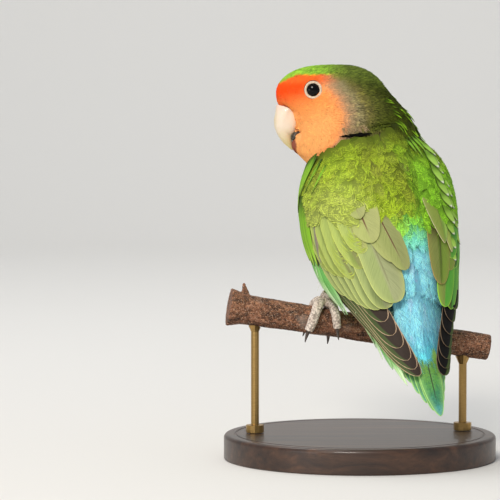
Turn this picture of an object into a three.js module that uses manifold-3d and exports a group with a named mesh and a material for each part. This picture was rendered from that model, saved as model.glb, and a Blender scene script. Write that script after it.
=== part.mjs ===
// A life-size peach-faced lovebird on a cut length of branch, on a plain display stand.
// The bird has its back to the viewer and looks over its left shoulder, so its head is in profile.
// Millimetres. +X is to the viewer's right, +Y away from the viewer, +Z up.
// The origin is the centre of the stand's underside.
import * as THREE from "three";
import { mergeVertices } from "three/addons/utils/BufferGeometryUtils.js";
import Module from "manifold-3d";

const wasm = await Module();
wasm.setup();

const point = (x, y, z) => new THREE.Vector3(x, y, z);
const radians = THREE.MathUtils.degToRad;
const mix = THREE.MathUtils.lerp;
const clearance = 0.3; // between neighbouring pieces

// Stand
const baseRadius = 54.5;
const baseHeight = 10;
const baseEdge = 1.6; // bevel of the base's upper edge
const rodRadius = 1.6;
const rodSpan = 84; // between the two rods
const collarRadius = 3.6;
const collarHeight = 3;

// Perch: a cut length of branch that slopes down to the viewer's right
const perchCentre = point(0, 5, 52.2);
const perchLength = 107;
const perchSlope = 9.3; // degrees below level
const perchYaw = 6; // the right-hand end is the further one
const perchRadius = 5.6;
const perchTaper = 0.3; // less at the right-hand end, more at the left
const perchWaver = 0.25; // how far the bark swells and shrinks
const knuckleSwell = 2.2; // where a stouter branch began, at the left-hand end
const thornLength = 3.4;

// Torso: its spine slopes, and it faces away and a little to the left
const torsoCentre = point(8, 3, 93.6);
const spinePitch = 57.5;
const bodyYaw = 22;
const collarAt = -33; // where the neck begins, tailwards from the torso's centre
const ventAt = 42; // where the tail begins
// Each row: how far tailwards, half-width, half-depth of the back and of the belly, and the shift to
// the bird's right
const bodySizes = [
  [-46, 13, 12, 12, 3.6],
  [-38, 19.8, 17, 17.5, 3.2],
  [-25, 26.4, 22.5, 23.5, 2.2],
  [-10, 29.2, 24, 26, 0.9],
  [5, 28.6, 24, 26, -0.3],
  [20, 25.4, 22.5, 22, -0.6],
  [35, 19.8, 18, 15, 0.2],
  [50, 14.4, 13, 9.5, 0.2],
  [65, 10.8, 9.5, 7, 0.3],
  [80, 8, 7.5, 5, 0.8],
  [95, 6.5, 6.5, 4, 1.4],
];
const mantleRise = 2.4; // the plumage between the shoulders stands this much higher

// Head: profile positions are from this centre, in the plane that the viewer sees
const headCentre = point(-11.6, 20, 140.8);
const eyeAt = [-7, 6.8]; // to the viewer's right and up
const eyeRadius = 4.2;
const eyeDepth = 3.1; // its centre below the surface
const lidRadius = 3.3; // of the ring's middle line
const lidThickness = 0.75; // half of it

// Wing: places are tailwards from the torso's centre and degrees round from the middle of the back
const wingCoreEnds = [-29, 19];
const wingCoreEdges = [23, 106];
const wingCoreThickness = 4.2;
const wingSwing = { left: -2, right: 8 }; // degrees that each wing lies further round
const vaneThickness = 0.5;
const vaneTilt = 0.24; // the outer edge of each feather is higher by this share of its width

// Legs: where each foot stands along the perch, and the middle of its thigh
const footAt = { left: -15.6, right: 20.5 };
const thighCentre = { left: point(-8.5, 0.5, 76.5), right: point(15, 0, 69) };
const toeRadius = 1.85;
const clawLength = 6;

// Materials
const paint = (colour, roughness, metalness = 0) =>
  new THREE.MeshStandardMaterial({ color: colour, roughness, metalness });
const faceOrange = paint(0xf07a45, 0.8);
const napeGreen = paint(0x7f9a3c, 0.8);
const bodyGreen = paint(0x86b52f, 0.75);
const wingGreen = paint(0x8fae3f, 0.65);
const tailBlue = paint(0x3fb4d8, 0.65);
const hornIvory = paint(0xe9dfc4, 0.35);
const eyeBlack = paint(0x0b0908, 0.08);
const lidWhite = paint(0xe8dccb, 0.6);
const legGrey = paint(0xa89c92, 0.7);
const clawDark = paint(0x3b332e, 0.4);
const bark = paint(0x6e4a35, 0.9);
const standWood = paint(0x3a2a20, 0.45);
const rodBrass = paint(0xb08d57, 0.35, 1);

// Solids: a geometry becomes a solid to be joined and cut, and goes back to a geometry at the end
function solidOf(geometry) {
  const bare = geometry.index ? geometry.toNonIndexed() : geometry.clone();
  for (const name of Object.keys(bare.attributes)) {
    if (name !== "position") bare.deleteAttribute(name);
  }
  const merged = mergeVertices(bare, 1e-4);
  return new wasm.Manifold(
    new wasm.Mesh({
      numProp: 3,
      vertProperties: new Float32Array(merged.attributes.position.array),
      triVerts: new Uint32Array(merged.index.array),
    }),
  );
}

function geometryOf(solid) {
  const mesh = solid.getMesh();
  const places = new Float32Array(mesh.numVert * 3);
  for (let i = 0; i < mesh.numVert; i++) {
    places.set(mesh.vertProperties.subarray(i * mesh.numProp, i * mesh.numProp + 3), i * 3);
  }
  return new THREE.BufferGeometry()
    .setAttribute("position", new THREE.BufferAttribute(places, 3))
    .setIndex(new THREE.BufferAttribute(mesh.triVerts, 1));
}

// The largest closed surface: loose scraps go, and a hollow that fusing sealed is filled
function largest(solid) {
  return solid.decompose().reduce((a, b) => (b.volume() > a.volume() ? b : a));
}

const joined = (solids) => largest(wasm.Manifold.union(solids));

// A closed skin over rings of points, each ring with the same number of points
function loft(rings) {
  const count = rings[0].length;
  const vertices = rings.flat();
  const faces = [];
  for (let i = 0; i + 1 < rings.length; i++) {
    for (let j = 0; j < count; j++) {
      const a = i * count + j;
      const b = i * count + ((j + 1) % count);
      faces.push(a, b, a + count, b, b + count, a + count);
    }
  }
  for (const end of [0, rings.length - 1]) {
    const middle = rings[end]
      .reduce((sum, p) => sum.add(p), point(0, 0, 0))
      .divideScalar(count);
    vertices.push(middle);
    for (let j = 0; j < count; j++) {
      const a = end * count + j;
      const b = end * count + ((j + 1) % count);
      faces.push(...(end ? [a, b, vertices.length - 1] : [b, a, vertices.length - 1]));
    }
  }
  return solidFacingOut(vertices, faces);
}

function solidFacingOut(vertices, faces) {
  const built = (order) =>
    solidOf(new THREE.BufferGeometry().setFromPoints(vertices).setIndex(order));
  const solid = built(faces);
  if (solid.volume() > 0) return solid;
  return built(faces.map((_, i) => faces[i - (i % 3) + [0, 2, 1][i % 3]]));
}

// Rings of an ellipse carried along a curve, with frames that don't twist
function tube(curve, rings, sides, sizeAt, wideTowards) {
  const made = [];
  for (let i = 0; i <= rings; i++) {
    const u = i / rings;
    const centre = curve.getPoint(u);
    const along = curve.getTangent(u);
    const across = wideTowards.clone().addScaledVector(along, -along.dot(wideTowards)).normalize();
    const third = along.clone().cross(across);
    const [wide, thick] = sizeAt(u);
    const ring = [];
    for (let j = 0; j < sides; j++) {
      const turn = (2 * Math.PI * j) / sides;
      ring.push(
        centre
          .clone()
          .addScaledVector(across, wide * Math.cos(turn))
          .addScaledVector(third, thick * Math.sin(turn)),
      );
    }
    made.push(ring);
  }
  return loft(made);
}

// A smooth value from a short list of [place, value] pairs
function graded(pairs) {
  const places = pairs.map((pair) => pair[0]);
  const curve = new THREE.CubicInterpolant(
    places,
    pairs.map((pair) => pair[1]),
    1,
    new Float32Array(1),
  );
  return (at) => curve.evaluate(THREE.MathUtils.clamp(at, places[0], places.at(-1)))[0];
}

// The bird's own directions and a point given in them: to its right, towards its back, and tailwards
const pitch = radians(spinePitch);
const yaw = radians(bodyYaw);
const toRight = point(Math.cos(yaw), Math.sin(yaw), 0);
const toBack = point(
  Math.sin(yaw) * Math.sin(pitch),
  -Math.cos(yaw) * Math.sin(pitch),
  Math.cos(pitch),
);
const toTail = point(
  Math.sin(yaw) * Math.cos(pitch),
  -Math.cos(yaw) * Math.cos(pitch),
  -Math.sin(pitch),
);
function onBody(right, back, tailwards) {
  return torsoCentre
    .clone()
    .addScaledVector(toRight, right)
    .addScaledVector(toBack, back)
    .addScaledVector(toTail, tailwards);
}

// The body's outline in sections across the spine
const sizeOf = (column) => graded(bodySizes.map((row) => [row[0], row[column]]));
const widthAt = sizeOf(1);
const backAt = sizeOf(2);
const bellyAt = sizeOf(3);
const shiftAt = sizeOf(4);

// A point round the body: tailwards, degrees from the middle of the back, and how far off the outline
function onOutline(side, tailwards, around, lift) {
  const turn = radians(around);
  const depth = Math.cos(turn) > 0 ? backAt(tailwards) : bellyAt(tailwards);
  return onBody(
    shiftAt(tailwards) + side * (widthAt(tailwards) + lift) * Math.sin(turn),
    (depth + lift) * Math.cos(turn),
    tailwards,
  );
}

// A point on the head, given as the viewer sees it: to the right, up, and towards the viewer
const onHead = (right, up, near) => headCentre.clone().add(point(right, -near, up));

// Flesh is one smooth blend of the body's outline and of rounded forms for the head
function bodyForm(p) {
  const away = p.clone().sub(torsoCentre);
  const tailwards = away.dot(toTail);
  const width = widthAt(tailwards);
  const back = away.dot(toBack);
  const depth = back > 0 ? backAt(tailwards) : bellyAt(tailwards);
  const across = (away.dot(toRight) - shiftAt(tailwards)) / width;
  const through = back / depth;
  const size = Math.hypot(across, through);
  const steep = Math.hypot(across / width, through / depth);
  const distance = size < 1e-9 ? -depth : (size * (size - 1)) / steep;
  return Math.max(distance, bodySizes[0][0] - tailwards);
}
function roundForm(centre, sizes, directions) {
  return (p) => {
    const away = p.clone().sub(centre);
    const scaled = point(0, 0, 0);
    const steep = point(0, 0, 0);
    directions.forEach((direction, i) => {
      const reach = away.dot(direction) / sizes[i];
      scaled.setComponent(i, reach);
      steep.setComponent(i, reach / sizes[i]);
    });
    const size = scaled.length();
    return size < 1e-9 ? -Math.min(...sizes) : (size * (size - 1)) / steep.length();
  };
}
function headForm(right, up, near, sizes, tilt = 0) {
  const turn = radians(tilt);
  return roundForm(onHead(right, up, near), sizes, [
    point(Math.cos(turn), 0, Math.sin(turn)),
    point(0, -1, 0),
    point(-Math.sin(turn), 0, Math.cos(turn)),
  ]);
}
const blendWidth = 6;
function blended(forms, width) {
  return (p) =>
    forms.reduce((least, form) => {
      const other = form(p);
      const share = Math.max(width - Math.abs(least - other), 0) / width;
      return Math.min(least, other) - (share * share * width) / 4;
    }, Infinity);
}
const headFlesh = blended(
  [
    headForm(16, -14, 3, [17, 16, 19], -40), // neck
    headForm(8.4, -1.2, 0, [16, 14.5, 17.4]), // back of the head
    headForm(-1.2, -5.6, 0, [11.8, 13, 15]), // cheeks
    headForm(-7, -15.4, 0, [6.6, 7.5, 6.4]), // chin
    headForm(-1.5, -13, 0, [10.5, 12.5, 12]), // throat
    headForm(-4.8, 5.4, 0, [17.9, 11.6, 11.8]), // forehead
  ],
  blendWidth,
);
const flesh = blended([headFlesh, bodyForm], blendWidth);

// How far flesh reaches from an inner point in one direction, up to a limit where it goes on
function reachOf(centre, way, limit) {
  let inside = 0;
  let outside = limit;
  for (let step = 0; step < 24; step++) {
    const middle = (inside + outside) / 2;
    if (flesh(centre.clone().addScaledVector(way, middle)) < 0) inside = middle;
    else outside = middle;
  }
  return inside;
}
function fleshAround(centre, spread, limit, detail, outwards = 0) {
  const ball = new THREE.IcosahedronGeometry(1, detail);
  const places = ball.getAttribute("position");
  for (let i = 0; i < places.count; i++) {
    const way = point(0, 0, 0).fromBufferAttribute(places, i).multiply(spread).normalize();
    const spot = centre.clone().addScaledVector(way, reachOf(centre, way, limit) + outwards);
    places.setXYZ(i, spot.x, spot.y, spot.z);
  }
  return solidOf(ball);
}

// The torso: rings across the spine, from the collar to the vent
const torsoRings = 14;
const torsoSides = 32;
function torsoSolid(outwards) {
  const rings = [];
  for (let i = 0; i <= torsoRings; i++) {
    const share = i / torsoRings;
    const tailwards = mix(collarAt + clearance - outwards, ventAt - clearance + outwards, share);
    const centre = onBody(shiftAt(tailwards), 0, tailwards);
    const mantle = THREE.MathUtils.smoothstep(26 - tailwards, 0, 24);
    const ring = [];
    for (let j = 0; j < torsoSides; j++) {
      const turn = (2 * Math.PI * j) / torsoSides;
      const way = toRight
        .clone()
        .multiplyScalar(Math.sin(turn))
        .addScaledVector(toBack, Math.cos(turn));
      const fromBack = Math.min(j, torsoSides - j) * (360 / torsoSides);
      const rise = mantleRise * mantle * THREE.MathUtils.smoothstep(22 - fromBack, 0, 14);
      const reach = reachOf(centre, way, 60) + rise + outwards;
      ring.push(centre.clone().addScaledVector(way, reach));
    }
    rings.push(ring);
  }
  return loft(rings);
}
const torso = torsoSolid(0);
const roundTorso = torsoSolid(clearance);

// The part of a solid on the side of a plane that the normal points to
const kept = (solid, through, normal) =>
  solid.trimByPlane(normal.toArray(), through.dot(normal));

// Planes that part the head from the neck and the neck from the torso
const napeCut = { through: onHead(8, -10, 0), normal: point(-0.57, 0, 0.82).normalize() };
const toHead = toTail.clone().negate();
const collarCut = { through: onBody(0, 0, collarAt), normal: toHead };

function headSolid(outwards) {
  const core = fleshAround(onHead(0, -1, 0), point(1.2, 0.9, 1), 34, 6, outwards);
  return kept(
    kept(core, napeCut.through, napeCut.normal),
    collarCut.through,
    collarCut.normal,
  );
}
const behindNape = napeCut.through.clone().addScaledVector(napeCut.normal, -clearance);
const neck = kept(
  kept(
    fleshAround(onHead(15, -13, 2), point(1, 1, 1), 40, 5),
    behindNape,
    napeCut.normal.clone().negate(),
  ),
  collarCut.through,
  collarCut.normal,
);

// Eyes: each looks out to its own side, in a socket with a ring of lid
const sides = { left: 1, right: -1 }; // towards the viewer and away
function eyeParts(side) {
  const outwards = point(0, -side, 0);
  const middle = onHead(...eyeAt, 0);
  const surface = reachOf(middle, outwards, 30);
  const centre = middle.clone().addScaledVector(outwards, surface - eyeDepth);
  const rim = middle
    .clone()
    .addScaledVector(outwards, surface - eyeDepth + Math.sqrt(eyeRadius ** 2 - lidRadius ** 2) + 0.3);
  const ball = (radius, detail) =>
    solidOf(new THREE.IcosahedronGeometry(radius, detail)).translate(centre.toArray());
  const ring = (radius) =>
    solidOf(new THREE.TorusGeometry(lidRadius, radius, 6, 18).rotateX(Math.PI / 2)).translate(
      rim.toArray(),
    );
  const room = ball(eyeRadius + clearance, 2);
  return {
    opening: room.add(ring(lidThickness + clearance)),
    eye: ball(eyeRadius, 2),
    lid: ring(lidThickness).subtract(room),
  };
}
const eyes = { left: eyeParts(sides.left), right: eyeParts(sides.right) };

// The bill, down its curved middle line: place in profile, half-depth and half-width
const upperBill = [
  [-13.6, 1.6, 2.8, 4.6],
  [-16.6, 0, 3.3, 4.8],
  [-18.2, -3.6, 4.2, 4.8],
  [-18.7, -7.3, 4, 4.2],
  [-18.3, -10.6, 3.1, 3.3],
  [-17.3, -13.6, 2, 2.3],
  [-16, -16, 1, 1.3],
  [-15, -17.6, 0.35, 0.4],
];
const lowerBill = [
  [-9, -8, 2.2, 3.4],
  [-12, -10.4, 2.1, 3.5],
  [-14.2, -12.2, 1.7, 2.8],
  [-15.9, -13.4, 0.9, 1.4],
  [-16.5, -13.7, 0.5, 0.7],
];
function billSolid(stations, rings, sides, outwards) {
  const curve = new THREE.CatmullRomCurve3(
    stations.map(([right, up], i) => {
      const behind = i ? 0 : outwards * 1.2;
      return onHead(right + behind, up + behind * 0.6, 0);
    }),
    false,
    "centripetal",
  );
  const places = stations.map((_, i) => i / (stations.length - 1));
  const depth = graded(stations.map((row, i) => [places[i], row[2]]));
  const width = graded(stations.map((row, i) => [places[i], row[3]]));
  return tube(
    curve,
    rings,
    sides,
    (u) => [width(u) + outwards, depth(u) + outwards],
    point(0, -1, 0),
  );
}
const nostril = (side) =>
  solidOf(new THREE.IcosahedronGeometry(0.55, 0)).translate(onHead(-17.6, -0.8, side * 4.6).toArray());
const billUpper = billSolid(upperBill, 11, 14, 0).subtract(nostril(1)).subtract(nostril(-1));
const billRoom = billSolid(upperBill, 11, 14, clearance);
const billLower = billSolid(lowerBill, 6, 10, 0).subtract(billRoom);

const head = headSolid(0)
  .subtract(eyes.left.opening)
  .subtract(eyes.right.opening)
  .subtract(billRoom)
  .subtract(billSolid(lowerBill, 6, 10, clearance));

// A closed slab between two like grids of points, split into triangles alike on both faces
function slab(upper, lower) {
  const rows = upper.length;
  const columns = upper[0].length;
  const vertices = [...upper.flat(), ...lower.flat()];
  const below = rows * columns;
  const faces = [];
  const at = (i, j) => i * columns + j;
  for (let i = 0; i + 1 < rows; i++) {
    for (let j = 0; j + 1 < columns; j++) {
      const [a, b, c, d] = [at(i, j), at(i, j + 1), at(i + 1, j), at(i + 1, j + 1)];
      faces.push(a, b, c, b, d, c);
      faces.push(below + a, below + c, below + b, below + b, below + c, below + d);
    }
  }
  const wall = (a, b) => faces.push(a, below + a, b, b, below + a, below + b);
  for (let i = 0; i + 1 < rows; i++) {
    wall(at(i + 1, 0), at(i, 0));
    wall(at(i, columns - 1), at(i + 1, columns - 1));
  }
  for (let j = 0; j + 1 < columns; j++) {
    wall(at(0, j), at(0, j + 1));
    wall(at(rows - 1, j + 1), at(rows - 1, j));
  }
  return solidFacingOut(vertices, faces);
}

// A feather's outline: how far along, its share of the full width, and its share of the thickness
const longVane = [
  [0, 0.5, 1],
  [0.36, 0.92, 1],
  [0.78, 1, 1],
  [0.94, 0.68, 0.85],
  [1, 0.22, 0.5],
];
const primaryVane = [
  [0, 0.5, 1],
  [0.2, 0.75, 1],
  [0.4, 0.95, 1],
  [0.62, 1, 1],
  [0.83, 0.96, 1],
  [0.95, 0.66, 0.85],
  [1, 0.22, 0.5],
];
const shortVane = [
  [0, 0.6, 1],
  [0.5, 1, 1],
  [0.84, 0.88, 0.9],
  [1, 0.3, 0.55],
];
// Feathers lie on the surface that place(along, across, lift) gives, from root to tip
function vane(place, stations) {
  const upper = [];
  const lower = [];
  for (const [along, width, thickness] of stations) {
    const top = [];
    const bottom = [];
    for (const edge of [-1, 1]) {
      bottom.push(place(along, edge * width, 0));
      top.push(place(along, edge * width, vaneThickness * thickness));
    }
    upper.push(top);
    lower.push(bottom);
  }
  return slab(upper, lower);
}

// One wing feather, from its root to its tip, each a place tailwards and round the body
function wingVane(side, swing, { root, tip, bow, half, lifts, tilt, stations }) {
  const centreline = (u) => [mix(root[0], tip[0], u), mix(root[1], tip[1], u ** bow) + swing];
  const place = (along, sideways, lift) => {
    const [tailwards, around] = centreline(along);
    const step = 0.02;
    const [before, fromBack] = centreline(Math.max(along - step, 0));
    const [after, toBackOf] = centreline(Math.min(along + step, 1));
    const turn = radians(around);
    const radius = Math.hypot(
      widthAt(tailwards) * Math.cos(turn),
      backAt(tailwards) * Math.sin(turn),
    );
    const alongSpine = after - before;
    const roundBody = radians(toBackOf - fromBack) * radius;
    const length = Math.hypot(alongSpine, roundBody);
    const offset = sideways * half;
    return onOutline(
      side,
      tailwards - (offset * roundBody) / length,
      around + THREE.MathUtils.radToDeg((offset * alongSpine) / (length * radius)),
      mix(...lifts, along) + offset * mix(vaneTilt, tilt, along ** 3) + lift,
    );
  };
  return vane(place, stations);
}

// Wing feathers in tiers, the lowest tier first. Each tier runs from the leading edge towards the back
const wingTiers = [
  {
    name: "primaries",
    swing: 0,
    tilt: 0.5,
    count: 5,
    root: (i) => [7 - 1.5 * i, 97 - 5 * i],
    tip: (i) => [73 - 6.4 * i, 26 + 11.5 * i ** 0.58],
    bow: 2.2,
    half: 2.9,
    lifts: (i) => [1.2 + 0.25 * i, 1.3 + 0.46 * i],
    stations: primaryVane,
  },
  {
    name: "secondaries",
    swing: 0.5,
    tilt: 0.3,
    count: 7,
    root: (i) => [12 - 0.6 * i, 86 - 8 * i],
    tip: (i) => [32 + 15 * Math.sin(0.3 * i), 77 - 8.7 * i],
    bow: 1.5,
    half: 3.1,
    lifts: () => [1.4, 3.2],
    stations: longVane,
  },
  {
    name: "tertials",
    swing: 1,
    tilt: vaneTilt,
    count: 2,
    root: (i) => [4 - 2 * i, 33 - 4 * i],
    tip: (i) => [31.5 + i, 22.5 - 9.5 * i],
    bow: 1.3,
    half: 4,
    lifts: (i) => [1.6, 3.1 - 1.1 * i],
    stations: longVane,
  },
  {
    name: "primary coverts",
    swing: 0,
    tilt: vaneTilt,
    count: 2,
    root: (i) => [-2, 101 - 8 * i],
    tip: (i) => [18 + 3 * i, 96 - 8 * i],
    bow: 1.2,
    half: 3,
    lifts: () => [1.2, 2.4],
    stations: shortVane,
  },
  {
    name: "greater coverts",
    swing: 0.5,
    tilt: vaneTilt,
    count: 7,
    root: (i) => [7, 84 - 8.2 * i],
    tip: (i) => [23 + 9 * Math.sin(0.45 * i), 79 - 8.6 * i],
    bow: 1.2,
    half: 3.2,
    lifts: () => [2.2, 4],
    stations: shortVane,
  },
  {
    name: "median coverts",
    swing: 0.6,
    tilt: vaneTilt,
    count: 5,
    root: (i) => [-4, 86 - 9.4 * i],
    tip: (i) => [12 + 6 * Math.sin(0.5 * i), 84 - 9.4 * i],
    bow: 1.1,
    half: 3.5,
    lifts: () => [2.6, 4.6],
    stations: shortVane,
  },
  {
    name: "scapulars",
    swing: 1,
    tilt: vaneTilt,
    count: 3,
    root: (i) => [4 - 11 * i, 37 - i],
    tip: (i) => [23 - 9.5 * i, 24 - 2 * i],
    bow: 1.1,
    half: 5,
    lifts: () => [2, 4.6],
    stations: shortVane,
  },
];

function wingCore(side, swing) {
  const upper = [];
  const lower = [];
  const rows = 8;
  const columns = 7;
  for (let i = 0; i <= rows; i++) {
    const top = [];
    const bottom = [];
    for (let j = 0; j <= columns; j++) {
      const share = i / rows;
      const fromMiddle = (2 * j) / columns - 1;
      const front = wingCoreEnds[0] + (fromMiddle < 0 ? 7 : 2) * fromMiddle ** 2;
      const tailwards = mix(front, wingCoreEnds[1] - 5 * fromMiddle ** 2, share);
      const around = mix(...wingCoreEdges, j / columns) + swing;
      const swell = 1 - (1 - Math.min(share / 0.4, 1)) ** 2;
      const level = 1 - fromMiddle ** 4;
      const fall = 1 - 0.4 * share ** 2;
      const inner = clearance + 0.25 + 0.5 * (1 - Math.min(share / 0.2, 1));
      const outer = inner + 0.5 + (wingCoreThickness - 1) * swell * level * fall;
      top.push(onOutline(side, tailwards, around, outer));
      bottom.push(onOutline(side, tailwards, around, inner));
    }
    upper.push(top);
    lower.push(bottom);
  }
  return slab(upper, lower);
}

function wingSolid(side, swing) {
  const pieces = [wingCore(side, swing / 2)];
  for (const tier of wingTiers) {
    for (let i = 0; i < tier.count; i++) {
      pieces.push(
        wingVane(side, swing * tier.swing, {
          ...tier,
          root: tier.root(i),
          tip: tier.tip(i),
          lifts: tier.lifts(i),
        }),
      );
    }
  }
  return joined(pieces).subtract(roundTorso);
}

// Tail: a stub of flesh, six feathers a side with the middle ones longest, and coverts above and below
const tailCoreEnd = 62;
const tailFeathers = 6;
const tailLength = 87.8; // how far tailwards the middle feathers reach
function tailVane(side, { root, tip, half, level, droop, stations }) {
  const place = (along, sideways, lift) => {
    const tailwards = mix(root[0], tip[0], along);
    const right = side * mix(root[1], tip[1], along) + sideways * half;
    const back = level(tailwards) - droop * right ** 2 + lift;
    return onBody(shiftAt(tailwards) + right, back, tailwards);
  };
  return vane(place, stations);
}
function tailSolid() {
  const core = [];
  const rings = 5;
  const around = 14;
  for (let i = 0; i <= rings; i++) {
    const tailwards = mix(ventAt, tailCoreEnd, i / rings);
    const shrink = 1 - 0.45 * (i / rings);
    const ring = [];
    for (let j = 0; j < around; j++) {
      const turn = (2 * Math.PI * j) / around;
      const above = backAt(tailwards) - 1.2 - 1.6 * (i / rings);
      const depth = Math.cos(turn) > 0 ? above : bellyAt(tailwards) * shrink;
      ring.push(
        onBody(
          shiftAt(tailwards) + (widthAt(tailwards) - 1) * shrink * Math.sin(turn),
          depth * Math.cos(turn),
          tailwards,
        ),
      );
    }
    core.push(ring);
  }
  const pieces = [loft(core)];
  for (const side of [-1, 1]) {
    for (let i = 0; i < tailFeathers; i++) {
      pieces.push(
        tailVane(side, {
          root: [ventAt + 4, 1 + i],
          tip: [tailLength - 3.6 * i - 0.4 * i ** 2, 1 + 2.3 * i],
          half: 2.9,
          level: (tailwards) => backAt(tailwards) - 2.2 - 0.85 * i - (side < 0 ? 0.85 : 0),
          droop: 0.012,
          stations: longVane,
        }),
      );
    }
    for (let i = 0; i < 4; i++) {
      const upperTier = i % 2;
      pieces.push(
        tailVane(side, {
          root: [ventAt + 1.5, 1.5 + 1.6 * i],
          tip: [upperTier ? 56 - i : 66 - 1.5 * i, 1.3 + 1.7 * i],
          half: 2.6,
          level: (tailwards) => backAt(tailwards) - 1.3 + 0.6 * upperTier - (side < 0 ? 0.3 : 0),
          droop: 0.03,
          stations: shortVane,
        }),
      );
    }
    for (let i = 0; i < 3; i++) {
      pieces.push(
        tailVane(side, {
          root: [ventAt + 3, 1.5 + 2.6 * i],
          tip: [70 - 3.5 * i, 1.8 + 2.7 * i],
          half: 3.4,
          level: (tailwards) => mix(0, 2.2, (tailwards - ventAt) / 26) + 0.9 * i - 3,
          droop: -0.02,
          stations: shortVane,
        }),
      );
    }
  }
  return joined(pieces);
}

// Perch: its own directions, and a point round it: along, degrees from the top towards the viewer, and
// how far out
const slope = radians(perchSlope);
const perchTurn = radians(perchYaw);
const perchWay = point(
  Math.cos(slope) * Math.cos(perchTurn),
  Math.cos(slope) * Math.sin(perchTurn),
  -Math.sin(slope),
);
const perchNear = point(Math.sin(perchTurn), -Math.cos(perchTurn), 0);
const perchUp = perchNear.clone().cross(perchWay);
function perchRadiusAt(along, around) {
  const share = along / (perchLength / 2);
  const knuckle = knuckleSwell * THREE.MathUtils.smoothstep(-share, 0.84, 1.02);
  const waver =
    Math.sin(along * 0.31 + 1) * 0.5 + Math.sin(along * 0.13 + 2 * radians(around)) * 0.5;
  return perchRadius - perchTaper * share + knuckle + perchWaver * waver;
}
function onPerch(along, around, outwards) {
  const turn = radians(around);
  return perchCentre
    .clone()
    .addScaledVector(perchWay, along)
    .addScaledVector(perchUp, (perchRadius + outwards) * Math.cos(turn))
    .addScaledVector(perchNear, (perchRadius + outwards) * Math.sin(turn));
}
function perchSolid(outwards) {
  const rings = [];
  const steps = 18;
  const around = 14;
  for (let i = 0; i <= steps; i++) {
    const along = mix(-perchLength / 2, perchLength / 2, i / steps);
    const ring = [];
    for (let j = 0; j < around; j++) {
      const turn = (360 * j) / around;
      ring.push(onPerch(along, turn, perchRadiusAt(along, turn) - perchRadius + outwards));
    }
    rings.push(ring);
  }
  return loft(rings);
}
const thornRoot = onPerch(-perchLength / 2 + 6, -8, 0.5);
const thornTip = onPerch(-perchLength / 2 + 4.5, -8, thornLength + 1.6);
const thorn = tube(
  new THREE.LineCurve3(thornRoot, thornTip),
  3,
  7,
  (u) => [mix(1.8, 0.5, u), mix(1.5, 0.4, u)],
  perchWay,
);
const perch = perchSolid(0).add(thorn);

// Legs: a feathered thigh, a short bare shank, and toes that grip the perch, two on each side of it
const hubHeight = 2.75; // of the foot's middle above the bark
function legParts(name) {
  const thighMiddle = thighCentre[name];
  const hub = onPerch(footAt[name], -6, hubHeight);
  const thighWay = hub.clone().sub(thighMiddle).normalize();
  const thighReach = hub.distanceTo(thighMiddle) - 3.2;
  const egg = (outwards) =>
    tube(
      new THREE.LineCurve3(
        thighMiddle.clone().addScaledVector(thighWay, -9 - outwards),
        thighMiddle.clone().addScaledVector(thighWay, thighReach + outwards),
      ),
      9,
      14,
      (u) => {
        const round = Math.sqrt(Math.max(1 - (2 * u - 1) ** 2, 0.02));
        return [mix(8.6, 5.4, u) * round + outwards, mix(7.6, 5, u) * round + outwards];
      },
      toRight,
    );
  const shankTop = thighMiddle.clone().addScaledVector(thighWay, thighReach - 2);
  const bare = (outwards) => {
    const shank = tube(
      new THREE.LineCurve3(shankTop, hub),
      2,
      10,
      (u) => [mix(1.9, 2.2, u) + outwards, mix(1.7, 2, u) + outwards],
      toRight,
    );
    const sole = new THREE.IcosahedronGeometry(2.3 + outwards, 1);
    return joined([shank, solidOf(sole).translate(hub.toArray())]);
  };
  const thigh = egg(0).subtract(roundTorso);
  const leg = bare(0).subtract(egg(clearance)).subtract(roundTorso);
  return { thigh, leg, legRoom: bare(clearance) };
}

// Each toe: how far along the perch it starts and ends, and how far round it goes. The first two point
// at the viewer
const toeWays = [
  { from: -2, to: -5.4, round: 116, size: 1 },
  { from: 1.9, to: 5.6, round: 98, size: 0.85 },
  { from: -2.1, to: -4.6, round: -108, size: 0.95 },
  { from: 1.9, to: 4.4, round: -118, size: 1 },
];
function toeParts(foot, { from, to, round, size }, legRoom) {
  const radius = toeRadius * size;
  const away = radius + clearance + 0.15 + perchWaver;
  const startTurn = Math.sign(round) * 14;
  const path = (u) => {
    const along = footAt[foot] + mix(from, to, u ** 0.8);
    const lifted = 0.5 * Math.sin(Math.PI * u);
    return onPerch(along, mix(startTurn, round, u), away + lifted * 0.6);
  };
  const places = [0, 0.2, 0.4, 0.6, 0.8, 1].map(path);
  const toe = tube(
    new THREE.CatmullRomCurve3(places, false, "centripetal"),
    7,
    7,
    (u) => {
      const pad = 1 + 0.07 * Math.cos(u * 6 * Math.PI);
      return [radius * mix(1.04, 0.82, u) * pad, radius * mix(1, 0.8, u) * pad];
    },
    perchWay,
  ).subtract(legRoom);
  const end = path(1);
  const onwards = path(1).sub(path(0.96)).normalize();
  const outwards = end
    .clone()
    .sub(perchCentre)
    .projectOnPlane(perchWay)
    .normalize();
  const clawPath = new THREE.QuadraticBezierCurve3(
    end.clone().addScaledVector(onwards, clearance + 0.2),
    end
      .clone()
      .addScaledVector(onwards, clawLength * 0.55)
      .addScaledVector(outwards, clawLength * 0.1),
    end
      .clone()
      .addScaledVector(onwards, clawLength * 0.75)
      .addScaledVector(outwards, clawLength * 0.5),
  );
  const claw = tube(
    clawPath,
    5,
    6,
    (u) => [mix(0.95, 0.18, u) * size, mix(1.15, 0.2, u) * size],
    perchWay,
  );
  return { toe, claw };
}

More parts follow.
